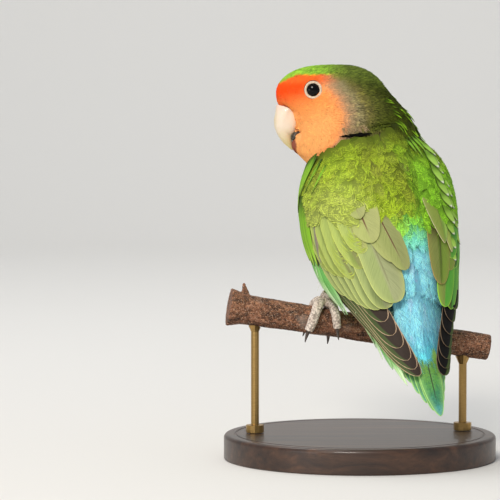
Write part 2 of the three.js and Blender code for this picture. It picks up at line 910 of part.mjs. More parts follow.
// Stand: a round base and two rods, each with a collar at its foot and a saddle at its top
const baseProfile = [
  [0, 0],
  [baseRadius, 0],
  [baseRadius, baseHeight - baseEdge],
  [baseRadius - baseEdge, baseHeight],
  [0, baseHeight],
].map(([x, y]) => new THREE.Vector2(x, y));
const standBase = solidOf(new THREE.LatheGeometry(baseProfile, 40).rotateX(Math.PI / 2));
const roundPerch = perchSolid(clearance);
function rodSolid(side) {
  const place = perchCentre.clone().addScaledVector(perchWay, (side * rodSpan) / 2 / perchWay.x);
  const foot = baseHeight + clearance;
  const upright = (radius, height) =>
    solidOf(
      new THREE.CylinderGeometry(radius, radius, height, 12)
        .rotateX(Math.PI / 2)
        .translate(place.x, place.y, foot + height / 2),
    );
  const saddle = solidOf(
    new THREE.CylinderGeometry(3.4, rodRadius, 4, 12)
      .rotateX(Math.PI / 2)
      .translate(place.x, place.y, place.z - perchRadius - 0.6),
  );
  return wasm.Manifold.union([
    upright(rodRadius, place.z - foot),
    upright(collarRadius, collarHeight),
    saddle,
  ]).subtract(roundPerch);
}

const bird = new THREE.Group();
function addNode(name, solid, material) {
  const mesh = new THREE.Mesh(geometryOf(largest(solid)), material);
  mesh.name = name;
  bird.add(mesh);
}
addNode("head", head, faceOrange);
addNode("neck", neck, napeGreen);
addNode("torso", torso, bodyGreen);
addNode("bill_upper", billUpper, hornIvory);
addNode("bill_lower", billLower, hornIvory);
for (const name of ["left", "right"]) {
  addNode(`eye_${name}`, eyes[name].eye, eyeBlack);
  addNode(`eyelid_${name}`, eyes[name].lid, lidWhite);
  const { thigh, leg, legRoom } = legParts(name);
  addNode(`thigh_${name}`, thigh, bodyGreen);
  addNode(`leg_${name}`, leg, legGrey);
  toeWays.forEach((way, i) => {
    const { toe, claw } = toeParts(name, way, legRoom);
    addNode(`toe_${name}_${i + 1}`, toe, legGrey);
    addNode(`claw_${name}_${i + 1}`, claw, clawDark);
  });
  const side = name === "left" ? -1 : 1;
  addNode(`wing_${name}`, wingSolid(side, wingSwing[name]), wingGreen);
  addNode(`stand_rod_${name}`, rodSolid(side), rodBrass);
}
addNode("tail", tailSolid(), tailBlue);
addNode("perch", perch, bark);
addNode("stand_base", standBase, standWood);

export default bird;
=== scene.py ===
# A peach-faced lovebird on a cut length of branch, on a display stand.
# The frame gives the solids. This script feathers the bird and finishes every surface.
# Shapes are worked out in millimetres, in the frame's directions. mm turns them into metres.
import math

import bmesh
import bpy
import numpy as np
from mathutils import Matrix, Vector, noise
from mathutils.bvhtree import BVHTree


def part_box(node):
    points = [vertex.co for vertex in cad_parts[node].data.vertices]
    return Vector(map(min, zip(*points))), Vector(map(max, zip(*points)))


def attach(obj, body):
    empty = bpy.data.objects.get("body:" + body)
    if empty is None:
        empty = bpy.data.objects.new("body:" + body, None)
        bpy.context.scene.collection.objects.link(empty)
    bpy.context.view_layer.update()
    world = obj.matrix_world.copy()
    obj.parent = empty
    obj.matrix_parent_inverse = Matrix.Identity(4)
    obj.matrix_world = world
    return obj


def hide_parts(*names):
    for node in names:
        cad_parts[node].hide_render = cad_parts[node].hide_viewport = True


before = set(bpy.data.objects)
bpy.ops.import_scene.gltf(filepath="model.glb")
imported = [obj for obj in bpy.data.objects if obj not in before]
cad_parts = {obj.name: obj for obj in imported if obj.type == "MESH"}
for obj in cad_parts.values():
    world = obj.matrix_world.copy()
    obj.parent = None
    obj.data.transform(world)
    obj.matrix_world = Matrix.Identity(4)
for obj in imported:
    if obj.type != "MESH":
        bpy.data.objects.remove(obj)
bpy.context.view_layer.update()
mm = 0.001
rng = np.random.default_rng(7)
sides = {"left": -1, "right": 1}


# Small helpers for numbers
def mix(low, high, share):
    return low + (high - low) * share


def fade(value, low, high):
    share = np.clip((np.asarray(value, float) - low) / (high - low), 0, 1)
    return share * share * (3 - 2 * share)


def between(value, low, high):
    return (value > low) & (value < high)


def unit(vectors):
    vectors = np.asarray(vectors, float)
    return vectors / np.maximum(np.linalg.norm(vectors, axis=-1, keepdims=True), 1e-9)


def dot(first, second):
    return (np.asarray(first) * second).sum(-1)


def curveThrough(places, values):
    # a smooth value at any place, from a few
    places, values = np.array(places, float), np.array(values, float)
    slopes = np.gradient(values, places)

    def at(place):
        place = np.clip(place, places[0], places[-1])
        i = np.clip(np.searchsorted(places, place) - 1, 0, len(places) - 2)
        gap = places[i + 1] - places[i]
        u = (place - places[i]) / gap
        near = values[i] * (2 * u**3 - 3 * u**2 + 1) + slopes[i] * gap * (u**3 - 2 * u**2 + u)
        return near + values[i + 1] * (3 * u**2 - 2 * u**3) + slopes[i + 1] * gap * (u**3 - u**2)

    return at


# The bird's body: its own directions, and its outline in sections across the spine
body = {
    "centre": (8, 3, 93.6),
    "pitch": 57.5,  # degrees that the spine slopes
    "yaw": 22,
    "tailwards": (-46, -38, -25, -10, 5, 20, 35, 50, 65, 80, 95),
    "width": (13, 19.8, 26.4, 29.2, 28.6, 25.4, 19.8, 14.4, 10.8, 8, 6.5),
    "back": (12, 17, 22.5, 24, 24, 22.5, 18, 13, 9.5, 7.5, 6.5),
    "belly": (12, 17.5, 23.5, 26, 26, 22, 15, 9.5, 7, 5, 4),
    "shift": (3.6, 3.2, 2.2, 0.9, -0.3, -0.6, 0.2, 0.2, 0.3, 0.8, 1.4),
    "collarAt": -33,
}
pitch, yaw = math.radians(body["pitch"]), math.radians(body["yaw"])
toRight = np.array((math.cos(yaw), math.sin(yaw), 0))
toBack = np.array((math.sin(yaw) * math.sin(pitch), -math.cos(yaw) * math.sin(pitch), math.cos(pitch)))
toTail = np.array((math.sin(yaw) * math.cos(pitch), -math.cos(yaw) * math.cos(pitch), -math.sin(pitch)))
bodyCentre = np.array(body["centre"], float)
widthAt, backAt, bellyAt, shiftAt = (
    curveThrough(body["tailwards"], body[name]) for name in ("width", "back", "belly", "shift")
)

head = {
    "centre": (-11.6, 20, 140.8),  # places below are right, away from the viewer and up from here
    "billRoot": (-17, 0, -1),  # where its feathers begin
    "napeThrough": (8, 0, -10),
    "napeNormal": (-0.57, 0, 0.82),
}
headCentre = np.array(head["centre"], float)
napeNormal = unit(head["napeNormal"])


def onBody(right, back, tailwards):
    right, back, tailwards = np.broadcast_arrays(right, back, tailwards)
    return bodyCentre + right[..., None] * toRight + back[..., None] * toBack + tailwards[..., None] * toTail


def onOutline(side, tailwards, around, lift):
    # around is in degrees from the middle of the back, lift is off the body's outline
    turn = np.radians(around)
    depth = np.where(np.cos(turn) > 0, backAt(tailwards), bellyAt(tailwards))
    return onBody(
        shiftAt(tailwards) + side * (widthAt(tailwards) + lift) * np.sin(turn),
        (depth + lift) * np.cos(turn),
        tailwards,
    )


def bodyPlaceOf(points):
    # tailwards, and degrees round from the middle of the back, towards the bird's right
    away = points - bodyCentre
    tailwards = dot(away, toTail)
    return tailwards, np.degrees(np.arctan2(dot(away, toRight) - shiftAt(tailwards), dot(away, toBack)))


def napeDistance(points):
    return dot(points - headCentre - head["napeThrough"], napeNormal)


# Pieces
def newPiece(name, mesh):
    piece = bpy.data.objects.new(name, mesh)
    bpy.context.scene.collection.objects.link(piece)
    return piece


def dress(piece, material, nodes=()):
    piece.data.materials.clear()
    piece.data.materials.append(material)
    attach(piece, "root")
    if nodes:
        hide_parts(*nodes)
    return piece


def meshOf(shape, name):
    mesh = bpy.data.meshes.new(name)
    shape.to_mesh(mesh)
    shape.free()
    mesh.polygons.foreach_set("use_smooth", [True] * len(mesh.polygons))
    return mesh


def refined(name, nodes, voxel, smoothing, grow, swell=0.0, shapes=()):
    # a closed skin over copies of some nodes and other shapes: swollen, fused, smoothed,
    # then grown along its normals by a depth or by a function of the place and the normal
    shape = bmesh.new()
    for node in nodes:
        shape.from_mesh(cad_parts[node].data)
    for extra in shapes:
        shape.from_mesh(extra)
        bpy.data.meshes.remove(extra)
    bmesh.ops.remove_doubles(shape, verts=shape.verts, dist=0.00001)
    shape.normal_update()
    for vertex in shape.verts:
        vertex.co += vertex.normal * swell * mm
    rough = newPiece(name, meshOf(shape, name))
    remesh = rough.modifiers.new("fuse", "REMESH")
    remesh.mode, remesh.voxel_size = "VOXEL", voxel * mm
    fused = bpy.data.meshes.new_from_object(rough.evaluated_get(bpy.context.evaluated_depsgraph_get()))
    bpy.data.objects.remove(rough)
    shape = bmesh.new()
    shape.from_mesh(fused)
    bpy.data.meshes.remove(fused)
    axes = {f"use_axis_{axis}": True for axis in "xyz"}
    for _ in range(smoothing):
        bmesh.ops.smooth_vert(shape, verts=shape.verts, factor=0.5, **axes)
    shape.normal_update()
    steps = [(vertex.co.copy(), vertex.normal.copy()) for vertex in shape.verts]
    for vertex, (place, normal) in zip(shape.verts, steps):
        depth = grow(place / mm, normal) if callable(grow) else grow
        vertex.co = place + normal * depth * mm
    return newPiece(name, meshOf(shape, name))


def readVertices(mesh, kind):
    flat = np.empty(len(mesh.vertices) * 3)
    mesh.vertices.foreach_get(kind, flat)
    return flat.reshape(-1, 3)


def pointsOf(mesh):
    return readVertices(mesh, "co") / mm


# Feathers: every feather is a grid of points, from root to tip and from edge to edge
def gridFaces(rows, columns, closed):
    i, j = np.meshgrid(np.arange(rows - 1), np.arange(columns - 1), indexing="ij")
    corner = (i * columns + j).ravel()
    top = np.stack((corner, corner + 1, corner + columns + 1, corner + columns), 1)
    if not closed:
        return top
    below = rows * columns
    rim = np.concatenate((
        np.arange(columns),
        np.arange(2, rows + 1) * columns - 1,
        (rows - 1) * columns + np.arange(columns - 2, -1, -1),
        np.arange(rows - 2, -1, -1) * columns,
    ))
    wall = np.stack((rim[:-1], rim[:-1] + below, rim[1:] + below, rim[1:]), 1)
    return np.concatenate((top, top[:, ::-1] + below, wall))


def perFeather(items, like):
    # one value for each feather, in the shape that goes with a grid of places
    return [np.reshape(item, (-1,) + (1,) * (np.ndim(like) - 1)) for item in items]


def featherGrid(points, marks, margin, roots, closed, patch, cover=0.0):
    # points: feather, layer, row, column. marks: along, across and tone. margin: how far in from the edge
    # cover: 1 where a feather goes in under the next; the vane's material darkens there as painted shadow
    count, layers, rows, columns = points.shape[:4]
    each = layers * rows * columns
    starts = np.arange(count)[:, None, None] * each
    return {
        "points": points.reshape(-1, 3),
        "faces": (gridFaces(rows, columns, closed)[None] + starts).reshape(-1, 4),
        "marks": marks.reshape(-1, 3),
        "margin": np.broadcast_to(margin, points.shape[:4]).reshape(-1),
        "cover": np.broadcast_to(cover, points.shape[:4]).reshape(-1),
        "roots": np.repeat(roots, each, axis=0),
        "patch": patch.reshape(-1, 2),
    }


def featherPiece(name, grids, flip=False, faceShare=None):
    # one mesh from several grids, with its marks, its roots and its unwrap
    joined = {key: np.concatenate([grid[key] for grid in grids]) for key in grids[0] if key != "faces"}
    starts = np.cumsum([0] + [len(grid["points"]) for grid in grids[:-1]])
    faces = np.concatenate([grid["faces"] + start for grid, start in zip(grids, starts)])
    if flip:
        faces = faces[:, ::-1]
    mesh = bpy.data.meshes.new(name)
    mesh.vertices.add(len(joined["points"]))
    mesh.vertices.foreach_set("co", (joined["points"] * mm).ravel())
    mesh.loops.add(faces.size)
    mesh.loops.foreach_set("vertex_index", faces.ravel())
    mesh.polygons.add(len(faces))
    mesh.polygons.foreach_set("loop_start", np.arange(0, faces.size, 4))
    mesh.polygons.foreach_set("use_smooth", np.ones(len(faces), bool))
    mesh.update(calc_edges=True)
    fields = {"vane": joined["marks"], "root": joined["roots"] * mm, "margin": joined["margin"]}
    if joined["cover"].any():
        fields["cover"] = joined["cover"]
    if faceShare:
        fields["faceShare"] = faceShare(joined["roots"])
    for label, data in fields.items():
        kind, item = ("FLOAT_VECTOR", "vector") if data.ndim > 1 else ("FLOAT", "value")
        values = np.ascontiguousarray(data, float).ravel()
        mesh.attributes.new(label, kind, "POINT").data.foreach_set(item, values)
    mesh.uv_layers.new(name="OFBake").data.foreach_set("uv", joined["patch"][faces.ravel()].ravel())
    print(name, len(faces) * 2, "triangles")
    return newPiece(name, mesh)


def vaneWidth(along, base, shoulder, point):
    # half-width along a feather, as a share: it swells from the root and rounds off past the shoulder
    end = np.clip((along - shoulder) / (1 - shoulder), 0, 1)
    return mix(base, 1, fade(along, 0, 0.4)) * np.maximum(1 - end**point, 0.0004) ** (1 / point)


def growVanes(place, roots, halves, shape, unwrap, tones, closed=True, tipMark=1.0, coveredTo=None):
    # thin vanes. place(along, across, height) gives points for every feather at once
    count = len(roots)
    rows, columns = shape["rows"], shape["columns"]
    along = (1 - (1 - np.linspace(0, 1, rows)) ** 1.5)[None, None, :, None]
    across = np.sin(np.linspace(-0.5, 0.5, columns) * math.pi)[None, None, None, :]
    ragged = 1 - shape["ragged"] * rng.random((count, 1, rows, columns)) * (np.abs(across) > 0.99)
    share = vaneWidth(along, shape["base"], shape["shoulder"], shape["point"]) * ragged
    camber = shape["camber"] * (1 - across**2) * fade(along, 0, 0.3) * (1 - 0.6 * along**4)
    ridge = shape["ridge"] * np.exp(-((across / 0.12) ** 2)) * (1 - along) ** 0.5
    level = np.array([1.0, 0.0] if closed else [1.0])[None, :, None, None]
    points = place(along, across * share, camber + ridge * level + shape["thickness"] * level)
    half, tone = perFeather((halves, tones), ragged)
    margin = (1 - np.abs(across)) * share * half
    marks = np.stack(np.broadcast_arrays(along * tipMark, across, tone), -1)
    marks = np.broadcast_to(marks, points.shape[:4] + (3,))
    cover = 0.0
    if coveredTo is not None:
        cover = np.clip(1 - (across * share * half - perFeather((coveredTo,), ragged)[0]) / 0.6, 0, 1)
    return featherGrid(points, marks, margin, roots, closed, unwrap(marks), cover)


def threadParts(each, rows):
    # the number of each thread, how far along it a point is, and which of its edges
    along = np.linspace(0, 1, rows)
    return np.arange(each)[None, :, None, None], along[None, None, :, None], np.array([-1.0, 1.0])


def threadGrid(points, marks, roots, unwrap, each, shownAmong=None):
    points, marks = (item.reshape(len(roots) * each, 1, -1, 2, 3) for item in (points, marks))
    some = shownAmong(points[:, 0, points.shape[2] // 2, 0]) if shownAmong else slice(None)
    patch = unwrap(marks, each)[some]
    return featherGrid(points[some], marks[some], 0.3, np.repeat(roots, each, axis=0)[some], False, patch)


def growBarbs(place, roots, shape, unwrap, tones):
    # loose wavy barbs that fan out from the shaft of each feather to its edge, and past it
    barbs = shape["barbs"]
    one = (len(roots), barbs, 1, 1)
    _, u, edge = threadParts(barbs, 5)
    fan = np.linspace(-1, 1, barbs)[None, :, None, None] + rng.normal(0, 0.5 / barbs, one)
    reach = shape["reach"] + rng.normal(0, shape["loose"], one)
    angle = fan * math.pi / 2
    start = shape["from"] + shape["spread"] * np.cos(angle) * rng.uniform(0.6, 1, one)
    end = mix(shape["from"] + 0.15, 1, np.maximum(np.cos(angle), 0) ** 0.8) * reach
    bend = rng.normal(0, shape["curl"], one)
    wave = shape["wave"] * np.sin(u * rng.uniform(5, 9, one) + rng.uniform(0, 6.3, one)) * u
    thin = shape["width"] * (1 - 0.6 * u**3) * edge
    along = mix(start, end, u) - (thin * 0.35 + wave * 0.3) * np.sin(angle)
    across = np.sin(angle) * reach * u**1.3 + bend * u * u + (wave + thin) * np.cos(angle * 0.7)
    heights = shape["height"] + rng.uniform(-0.4, 1, one) * shape["loft"] * u
    tone = perFeather((tones,), angle)[0] + rng.normal(0, shape["mottle"], one)
    marks = np.stack(np.broadcast_arrays(0.45 + 0.55 * u, across, tone), -1)
    return threadGrid(place(along, across, heights), marks, roots, unwrap, barbs)


def growCrinkles(place, roots, shape, unwrap, tones):
    # fine wavy threads in rings, one inside the other, parallel to the tip's outline
    count, pieces, threads = len(roots), shape["pieces"], shape["rings"] * shape["pieces"]
    one, each = (count, threads, 1, 1), (count, 1, 1, 1)
    thread, u, edge = threadParts(threads, 7)
    ring = thread // pieces + rng.uniform(0.3, 0.7, one)
    part = thread % pieces + rng.uniform(-0.3, 0.3, one)
    angle = shape["arc"] * (2 * (part + u * rng.uniform(*shape["span"], one)) / pieces - 1)
    wave = np.sin(angle * rng.uniform(5, 9, each) + rng.uniform(0, 6.3, each) + rng.normal(0, 0.4, one))
    thin = shape["width"] * np.sin(math.pi * mix(0.12, 0.88, u)) * edge
    radius = mix(*shape["radius"], ring / shape["rings"]) + shape["ripple"] * wave + thin
    along = shape["from"] + (1 - shape["from"]) * radius * np.cos(angle)
    across = radius * np.sin(angle)
    points = place(along, across, shape["height"] + rng.uniform(0, shape["loft"], one) + 0 * thin)
    # bright lifts the threads above the vane's tone: partly the fringes' own lighter colour, partly a painted
    # highlight
    tone = perFeather((tones,), angle)[0] + rng.normal(shape["bright"], shape["mottle"], one)

    def inPatches(middles):
        patchy = np.array([noise.noise(Vector(middle) * 0.16) for middle in middles])
        return rng.random(len(middles)) < np.clip(shape["share"] + shape["patchy"] * patchy, 0.04, 1)

    marks = np.stack(np.broadcast_arrays(along, across, tone), -1)
    return threadGrid(points, marks, roots, unwrap, threads, inPatches)


def patchesAt(middles, size=0.003):
    # each feather's patch on the unwrap: a small square at its root's place
    def unwrap(marks, repeat=1):
        centre = np.repeat(middles, repeat, axis=0)[:, None, None, None, :]
        offset = np.stack((np.clip(marks[..., 1], -1, 1) / 2, np.clip(marks[..., 0], 0, 1) - 0.5), -1)
        return centre + offset * size

    return unwrap


def cellsFor(count):
    # large feathers have a cell each, side by side
    across = math.ceil(math.sqrt(count * 2))
    down = math.ceil(count / across)

    def unwrap(marks, repeat=1):
        cell = np.repeat(np.arange(count), repeat)[:, None, None, None]
        u = (cell % across + 0.5 + 0.44 * np.clip(marks[..., 1], -1, 1)) / across
        v = (cell // across + 0.06 + 0.88 * np.clip(marks[..., 0], 0, 1)) / down
        return np.stack((u, v), -1)

    return unwrap


# The skin: one smooth surface through the flesh, as deep as the coat is thick
coat = {"body": 1.9, "head": 1.0, "fadeOver": 9, "underBill": 0.6}
skinTail = {"middle": 47, "half": 21, "width": 11.5, "depth": 9}
# the part of the bill that meets the face, and how far up it shows, from its front to its back
billSize = {
    "middle": (-17.5, 0, -4), "radii": (4.6, 4.4, 7.7), "squareness": 0.75,
    "topAt": (-23, -19, -14), "top": (0.9, 0.3, -1.6),
    # where it stands in place of feathers: its top at places to the right, and its rear at places up
    "rim": ((-23, -19, -14.2, -13), (0.4, 0, -2.2, -5)),
    "lowest": -17.5,
    "reach": 8,
    "rear": ((-17.5, -14, -12.5, -10, -8.5, -7.6, -3), (-15.5, -13.8, -12.2, -12.4, -13.6, -14.4, -13.6)),
}
chin = {"middle": (-12.6, 0, -15.4), "radii": (4.0, 4.2, 4.0)}
brow = {"middle": (-17.6, 0, 2.4), "radii": (4.6, 5.0, 3.4)}


def billMask(points, edge=0.0):
    # where the bill stands in place of feathers
    right, up = points[:, 0] - headCentre[0], points[:, 2] - headCentre[2]
    near = np.abs(points[:, 1] - headCentre[1])
    rim = np.interp(right, *billSize["rim"]) + edge
    behind = np.interp(up, *billSize["rear"])
    return (up < rim) & (up > billSize["lowest"]) & (right < behind + edge) & (near < billSize["reach"])


def roundShape(middle, radii, squareness=1.0):
    shape = bmesh.new()
    bmesh.ops.create_uvsphere(shape, u_segments=32, v_segments=24, radius=1)
    for vertex in shape.verts:
        sized = [math.copysign(abs(k) ** squareness, k) * radius for k, radius in zip(vertex.co, radii)]
        vertex.co = (Vector(sized) + Vector(middle) + Vector(headCentre)) * mm
    return meshOf(shape, "round")


billRound = roundShape(billSize["middle"], billSize["radii"], billSize["squareness"])
billTop = refined("bill_top", ("bill_upper",), voxel=0.24, smoothing=16, grow=0.06, shapes=(billRound,))
billUnder = refined("bill_under", ("bill_lower",), voxel=0.2, smoothing=10, grow=0.05)
for vertex in billUnder.data.vertices:
    # its rear goes in under the cheek's feathers
    right = vertex.co.x / mm - headCentre[0]
    vertex.co.y += (headCentre[1] * mm - vertex.co.y) * 0.4 * float(fade(right, -14.8, -12.6))
billUnder.data.update()


def tuckTop(mesh):
    # the root of the bill goes in under the forehead's feathers
    for vertex in mesh.vertices:
        right, up = vertex.co.x / mm - headCentre[0], vertex.co.z / mm - headCentre[2]
        over = up - float(np.interp(right, billSize["topAt"], billSize["top"]))
        if over > 0:
            vertex.co.z -= 0.85 * over * mm
            vertex.co.x += min(0.8 * over, 1.2) * mm
            vertex.co.y += (headCentre[1] * mm - vertex.co.y) * min(0.25 * over, 0.5)
    mesh.update()


tuckTop(billTop.data)


def tailStub():
    shape = bmesh.new()
    bmesh.ops.create_uvsphere(shape, u_segments=32, v_segments=16, radius=mm)
    turn = Matrix((toRight, toBack, toTail)).transposed().to_4x4()
    size = Matrix.Diagonal((skinTail["width"], skinTail["depth"], skinTail["half"], 1))
    middle = Matrix.Translation(Vector(onBody(0.2, 0, skinTail["middle"])) * mm)
    bmesh.ops.transform(shape, verts=shape.verts, matrix=middle @ turn @ size)
    return meshOf(shape, "stub")


def skinDepth(place, normal):
    tailwards = float(dot(np.array(place) - bodyCentre, toTail))
    share = fade(tailwards - body["collarAt"], -coat["fadeOver"], coat["fadeOver"])
    return -mix(coat["head"], coat["body"], float(share))


def tuckUnderBill(mesh):
    # the skin dives under the bill where the bill leaves the face
    shape = bmesh.new()
    shape.from_mesh(billTop.data)
    shape.from_mesh(billUnder.data)
    horn = BVHTree.FromBMesh(shape)
    shape.free()
    points = pointsOf(mesh)
    under = billMask(points, 0.4) & (points[:, 2] - headCentre[2] > -12.5)
    for i in np.flatnonzero(under):
        vertex = mesh.vertices[i]
        found, normal = horn.find_nearest(vertex.co)[:2]
        if (vertex.co - found).dot(normal) > -coat["underBill"] * mm:
            vertex.co = found - normal * coat["underBill"] * mm
    mesh.update()


skinNodes = ("head", "neck", "torso", "thigh_left", "thigh_right")
skin = refined(
    "skin", skinNodes + ("eye_left", "eye_right"), voxel=0.85, smoothing=6, swell=0.3, grow=skinDepth,
    shapes=(tailStub(), roundShape(chin["middle"], chin["radii"]), roundShape(brow["middle"], brow["radii"])),
)
tuckUnderBill(skin.data)
skinPoints, skinNormals = pointsOf(skin.data), readVertices(skin.data, "normal")
skinFaces = [tuple(face.vertices) for face in skin.data.polygons]
skinTree = BVHTree.FromPolygons(skinPoints.tolist(), skinFaces)
faceNormals = unit(skinNormals[np.array([face[:3] for face in skinFaces])].mean(1))
print("skin", len(skinFaces), "faces")


def onSkin(points):
    # the nearest places on the skin, and the skin's directions there
    found = [skinTree.find_nearest(point) for point in points]
    return np.array([item[0] for item in found]), faceNormals[[item[2] for item in found]]


def lieOf(points, normals):
    # feathers lie away from the bill on the head, and towards the tail on the body
    fromBill = unit(points - headCentre - head["billRoot"])
    tailwards, around = bodyPlaceOf(points)
    share = fade(tailwards, body["collarAt"] - 12, body["collarAt"] + 6)[:, None]
    outwards = np.sign(around)[:, None] * toRight * 0.18 * (np.abs(around) < 70)[:, None]
    way = mix(fromBill, toTail + outwards, share)
    return unit(way - normals * dot(way, normals)[:, None])


def turned(ways, normals, degrees):
    angle = np.radians(degrees)[:, None]
    return ways * np.cos(angle) + np.cross(normals, ways) * np.sin(angle)


def alongSkin(roots, normals, ways, lengths, halves, lifts, steps):
    # a feather's own space: along it, across it and above the skin
    centres, ups, forwards = [roots], [normals], [ways]
    for _ in range(steps):
        place, up = onSkin(centres[-1] + forwards[-1] * (lengths / steps)[:, None])
        centres.append(place)
        ups.append(up)
        forwards.append(unit(forwards[-1] - up * dot(forwards[-1], up)[:, None]))
    centres, ups, forwards = (np.stack(items, 1) for items in (centres, ups, forwards))
    sideways = unit(np.cross(ups, forwards))

    def place(along, across, height):
        along, across, height = np.broadcast_arrays(along, across, height)
        which, root, tip, half = perFeather((np.arange(len(roots)), *lifts, halves), along)
        i = np.clip(np.floor(along * steps).astype(int), 0, steps - 1)
        share = (along * steps - i)[..., None]
        centre, up, side = (
            mix(items[which, i], items[which, i + 1], share) for items in (centres, ups, sideways)
        )
        lift = mix(root, tip, np.clip(along, 0, 1.3)) + height
        return centre + side * (across * half)[..., None] + up * lift[..., None]

    return place


def someOf(mask, *items):
    return [tuple(part[mask] for part in item) if isinstance(item, tuple) else item[mask] for item in items]


def bodyUnwrap(roots):
    tailwards, around = bodyPlaceOf(roots)
    return np.stack((0.5 + around / 368, 0.5 + tailwards / 150), 1)


def headUnwrap(roots):
    away = roots - headCentre
    turn = np.arctan2(away[:, 2] + 4, -away[:, 1])
    return np.stack((0.5 + turn / 6.4, 0.5 + away[:, 0] / 66), 1)


def headShare(places):
    # 1 on the head, 0 on the body
    return fade(napeDistance(places), -9, 1)


def noHead(places):
    return np.zeros(len(places))


# The head's coat: short fine tufts, smallest round the bill
headCoat = {
    "length": (1.3, 3.2),  # at the bill, at the nape
    "width": (0.24, 0.34),
    "lift": (-0.2, 0.62),
    "tones": (0.42, 1.25),
    "perCell": 4,
    "scatter": 11,
    "growth": (3, 34),  # from the bill, where tufts are the smallest and the largest
    "clumps": {"size": 2, "share": 1.6},
    "plainFace": {"right": (12, 4), "up": (13, 11)},  # tufts vary less left of here and below
    "eyeGap": 3.55,
    "pieces": 4,
    "shape": {
        "rows": 4, "columns": 3, "ragged": 0, "base": 0.8, "shoulder": 0.45, "point": 1.5, "camber": 0.1,
        "ridge": 0, "thickness": 0,
    },
}
eyeCentres = {name: np.array(sum(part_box(f"eye_{name}"), Vector())) / 2 / mm for name in sides}


def clearOfFace(points):
    clear = ~billMask(points)
    for centre in eyeCentres.values():
        clear &= np.linalg.norm((points - centre)[:, [0, 2]], axis=1) > headCoat["eyeGap"]
    return clear


def headFeathers(material):
    corners = np.array([face for face in skinFaces if len(face) == 4])
    a, b, c, d = (skinPoints[corners[:, k]] for k in range(4))
    spots = []
    for _ in range(headCoat["perCell"]):
        u, v = rng.random((2, len(corners), 1))
        spots.append(mix(mix(a, b, u), mix(d, c, u), v))
    spots = np.concatenate(spots)
    spots = spots[bodyPlaceOf(spots)[0] < body["collarAt"] + 1.5]
    roots, normals = onSkin(spots)
    count = len(roots)
    ways = turned(lieOf(roots, normals), normals, rng.normal(0, headCoat["scatter"], count))
    far = fade(np.linalg.norm(roots - headCentre - head["billRoot"], axis=1), *headCoat["growth"])
    vary = rng.normal(1, 0.14, count)
    lengths = mix(*headCoat["length"], far) * vary
    shown = roots + ways * lengths[:, None] * 0.6  # a tuft takes its colour from the middle of what shows
    tips = roots + ways * lengths[:, None]
    halves = mix(*headCoat["width"], far)
    lifts = np.full(count, headCoat["lift"][0]), headCoat["lift"][1] * vary * mix(0.3, 1.7, far**2)
    clumps, face = headCoat["clumps"], headCoat["plainFace"]
    patchy = np.array([noise.noise(Vector(place) / clumps["size"]) for place in shown]) * clumps["share"]
    right, _, up = (shown - headCentre).T
    plain = fade(right, *face["right"]) * fade(up, *face["up"])
    tones = (rng.normal(0, 1, count) + patchy) * mix(headCoat["tones"][1], headCoat["tones"][0], plain)
    keep = clearOfFace(roots) & clearOfFace(tips)
    for part in range(headCoat["pieces"]):
        some = keep & (np.arange(count) % headCoat["pieces"] == part)
        place = alongSkin(*someOf(some, roots, normals, ways, lengths, halves, lifts), 2)
        spots, half, patches, tone = someOf(some, shown, halves, headUnwrap(roots), tones)
        grid = growVanes(place, spots, half, headCoat["shape"], patchesAt(patches), tone, closed=False)
        piece = featherPiece(f"head_feathers_{part + 1}", [grid], faceShare=headShare)
        dress(piece, material)


# The body's coat: rounded feathers in staggered rows, each with a vane and a fringe of loose barbs
bodyCoat = {
    "rows": (-43, 61, 2.4),  # first, last and step, tailwards
    "apart": 2.7,
    "jitter": 0.7,
    "length": (6.0, 8.0),
    "width": (1.9, 2.5),
    "lift": (1.1, 1.35),
    "scatter": 12,
    "underWing": {"around": (30, 90), "tailwards": (-16, 34)},  # no feathers here
    "backTo": 62,  # degrees round
    "splitAt": (17, 10),  # tailwards, on the back and in front
    "vane": {
        "rows": 6, "columns": 5, "ragged": 0.15, "base": 0.5, "shoulder": 0.3, "point": 1.9, "camber": 0.08,
        "ridge": 0, "thickness": 0,
    },
    "barbs": {
        "barbs": 7, "from": 0.3, "spread": 0.4, "reach": 1.06, "loose": 0.12, "curl": 0.3, "wave": 0.12,
        "width": 0.034, "height": 0.03, "loft": 0.03, "mottle": 1.0,
    },
    "looseBarbs": {
        "barbs": 19, "from": 0.2, "spread": 0.4, "reach": 1.25, "loose": 0.2, "curl": 0.22, "wave": 0.1,
        "width": 0.04, "height": 0.05, "loft": 0.16, "mottle": 1.9,
    },
    # below nought: the vane darker than the barbs over it, as painted shade
    "vaneTone": -1.45,
}
crinkles = {
    "rings": 6, "pieces": 4, "arc": 1.25, "from": 0.36, "radius": (0.15, 1.15), "span": (0.7, 1.1),
    "ripple": 0.055, "width": 0.046, "height": 0.09, "loft": 0.04, "bright": 1.5, "mottle": 0.7,
    "share": 0.85, "patchy": 0.7,
}
rumpCoat = {"from": 8, "over": 12, "length": 5.6, "width": 1.4, "lift": 1.1, "to": 52, "vaneTone": 0.3}


def softGrids(place, roots, halves, patches, tones, vaneTone, barbs="barbs", threads=None, tipMark=0.75):
    # a vane under loose barbs, and under fine threads where they are wanted. A vane tone below nought darkens
    # the vane, as painted shade in the gaps between the threads
    unwrap = patchesAt(patches)
    grids = [growVanes(place, roots, halves, bodyCoat["vane"], unwrap, tones + vaneTone, False, tipMark)]
    grids.append(growBarbs(place, roots, bodyCoat[barbs], unwrap, tones))
    return grids + ([growCrinkles(place, roots, threads, unwrap, tones)] if threads else [])


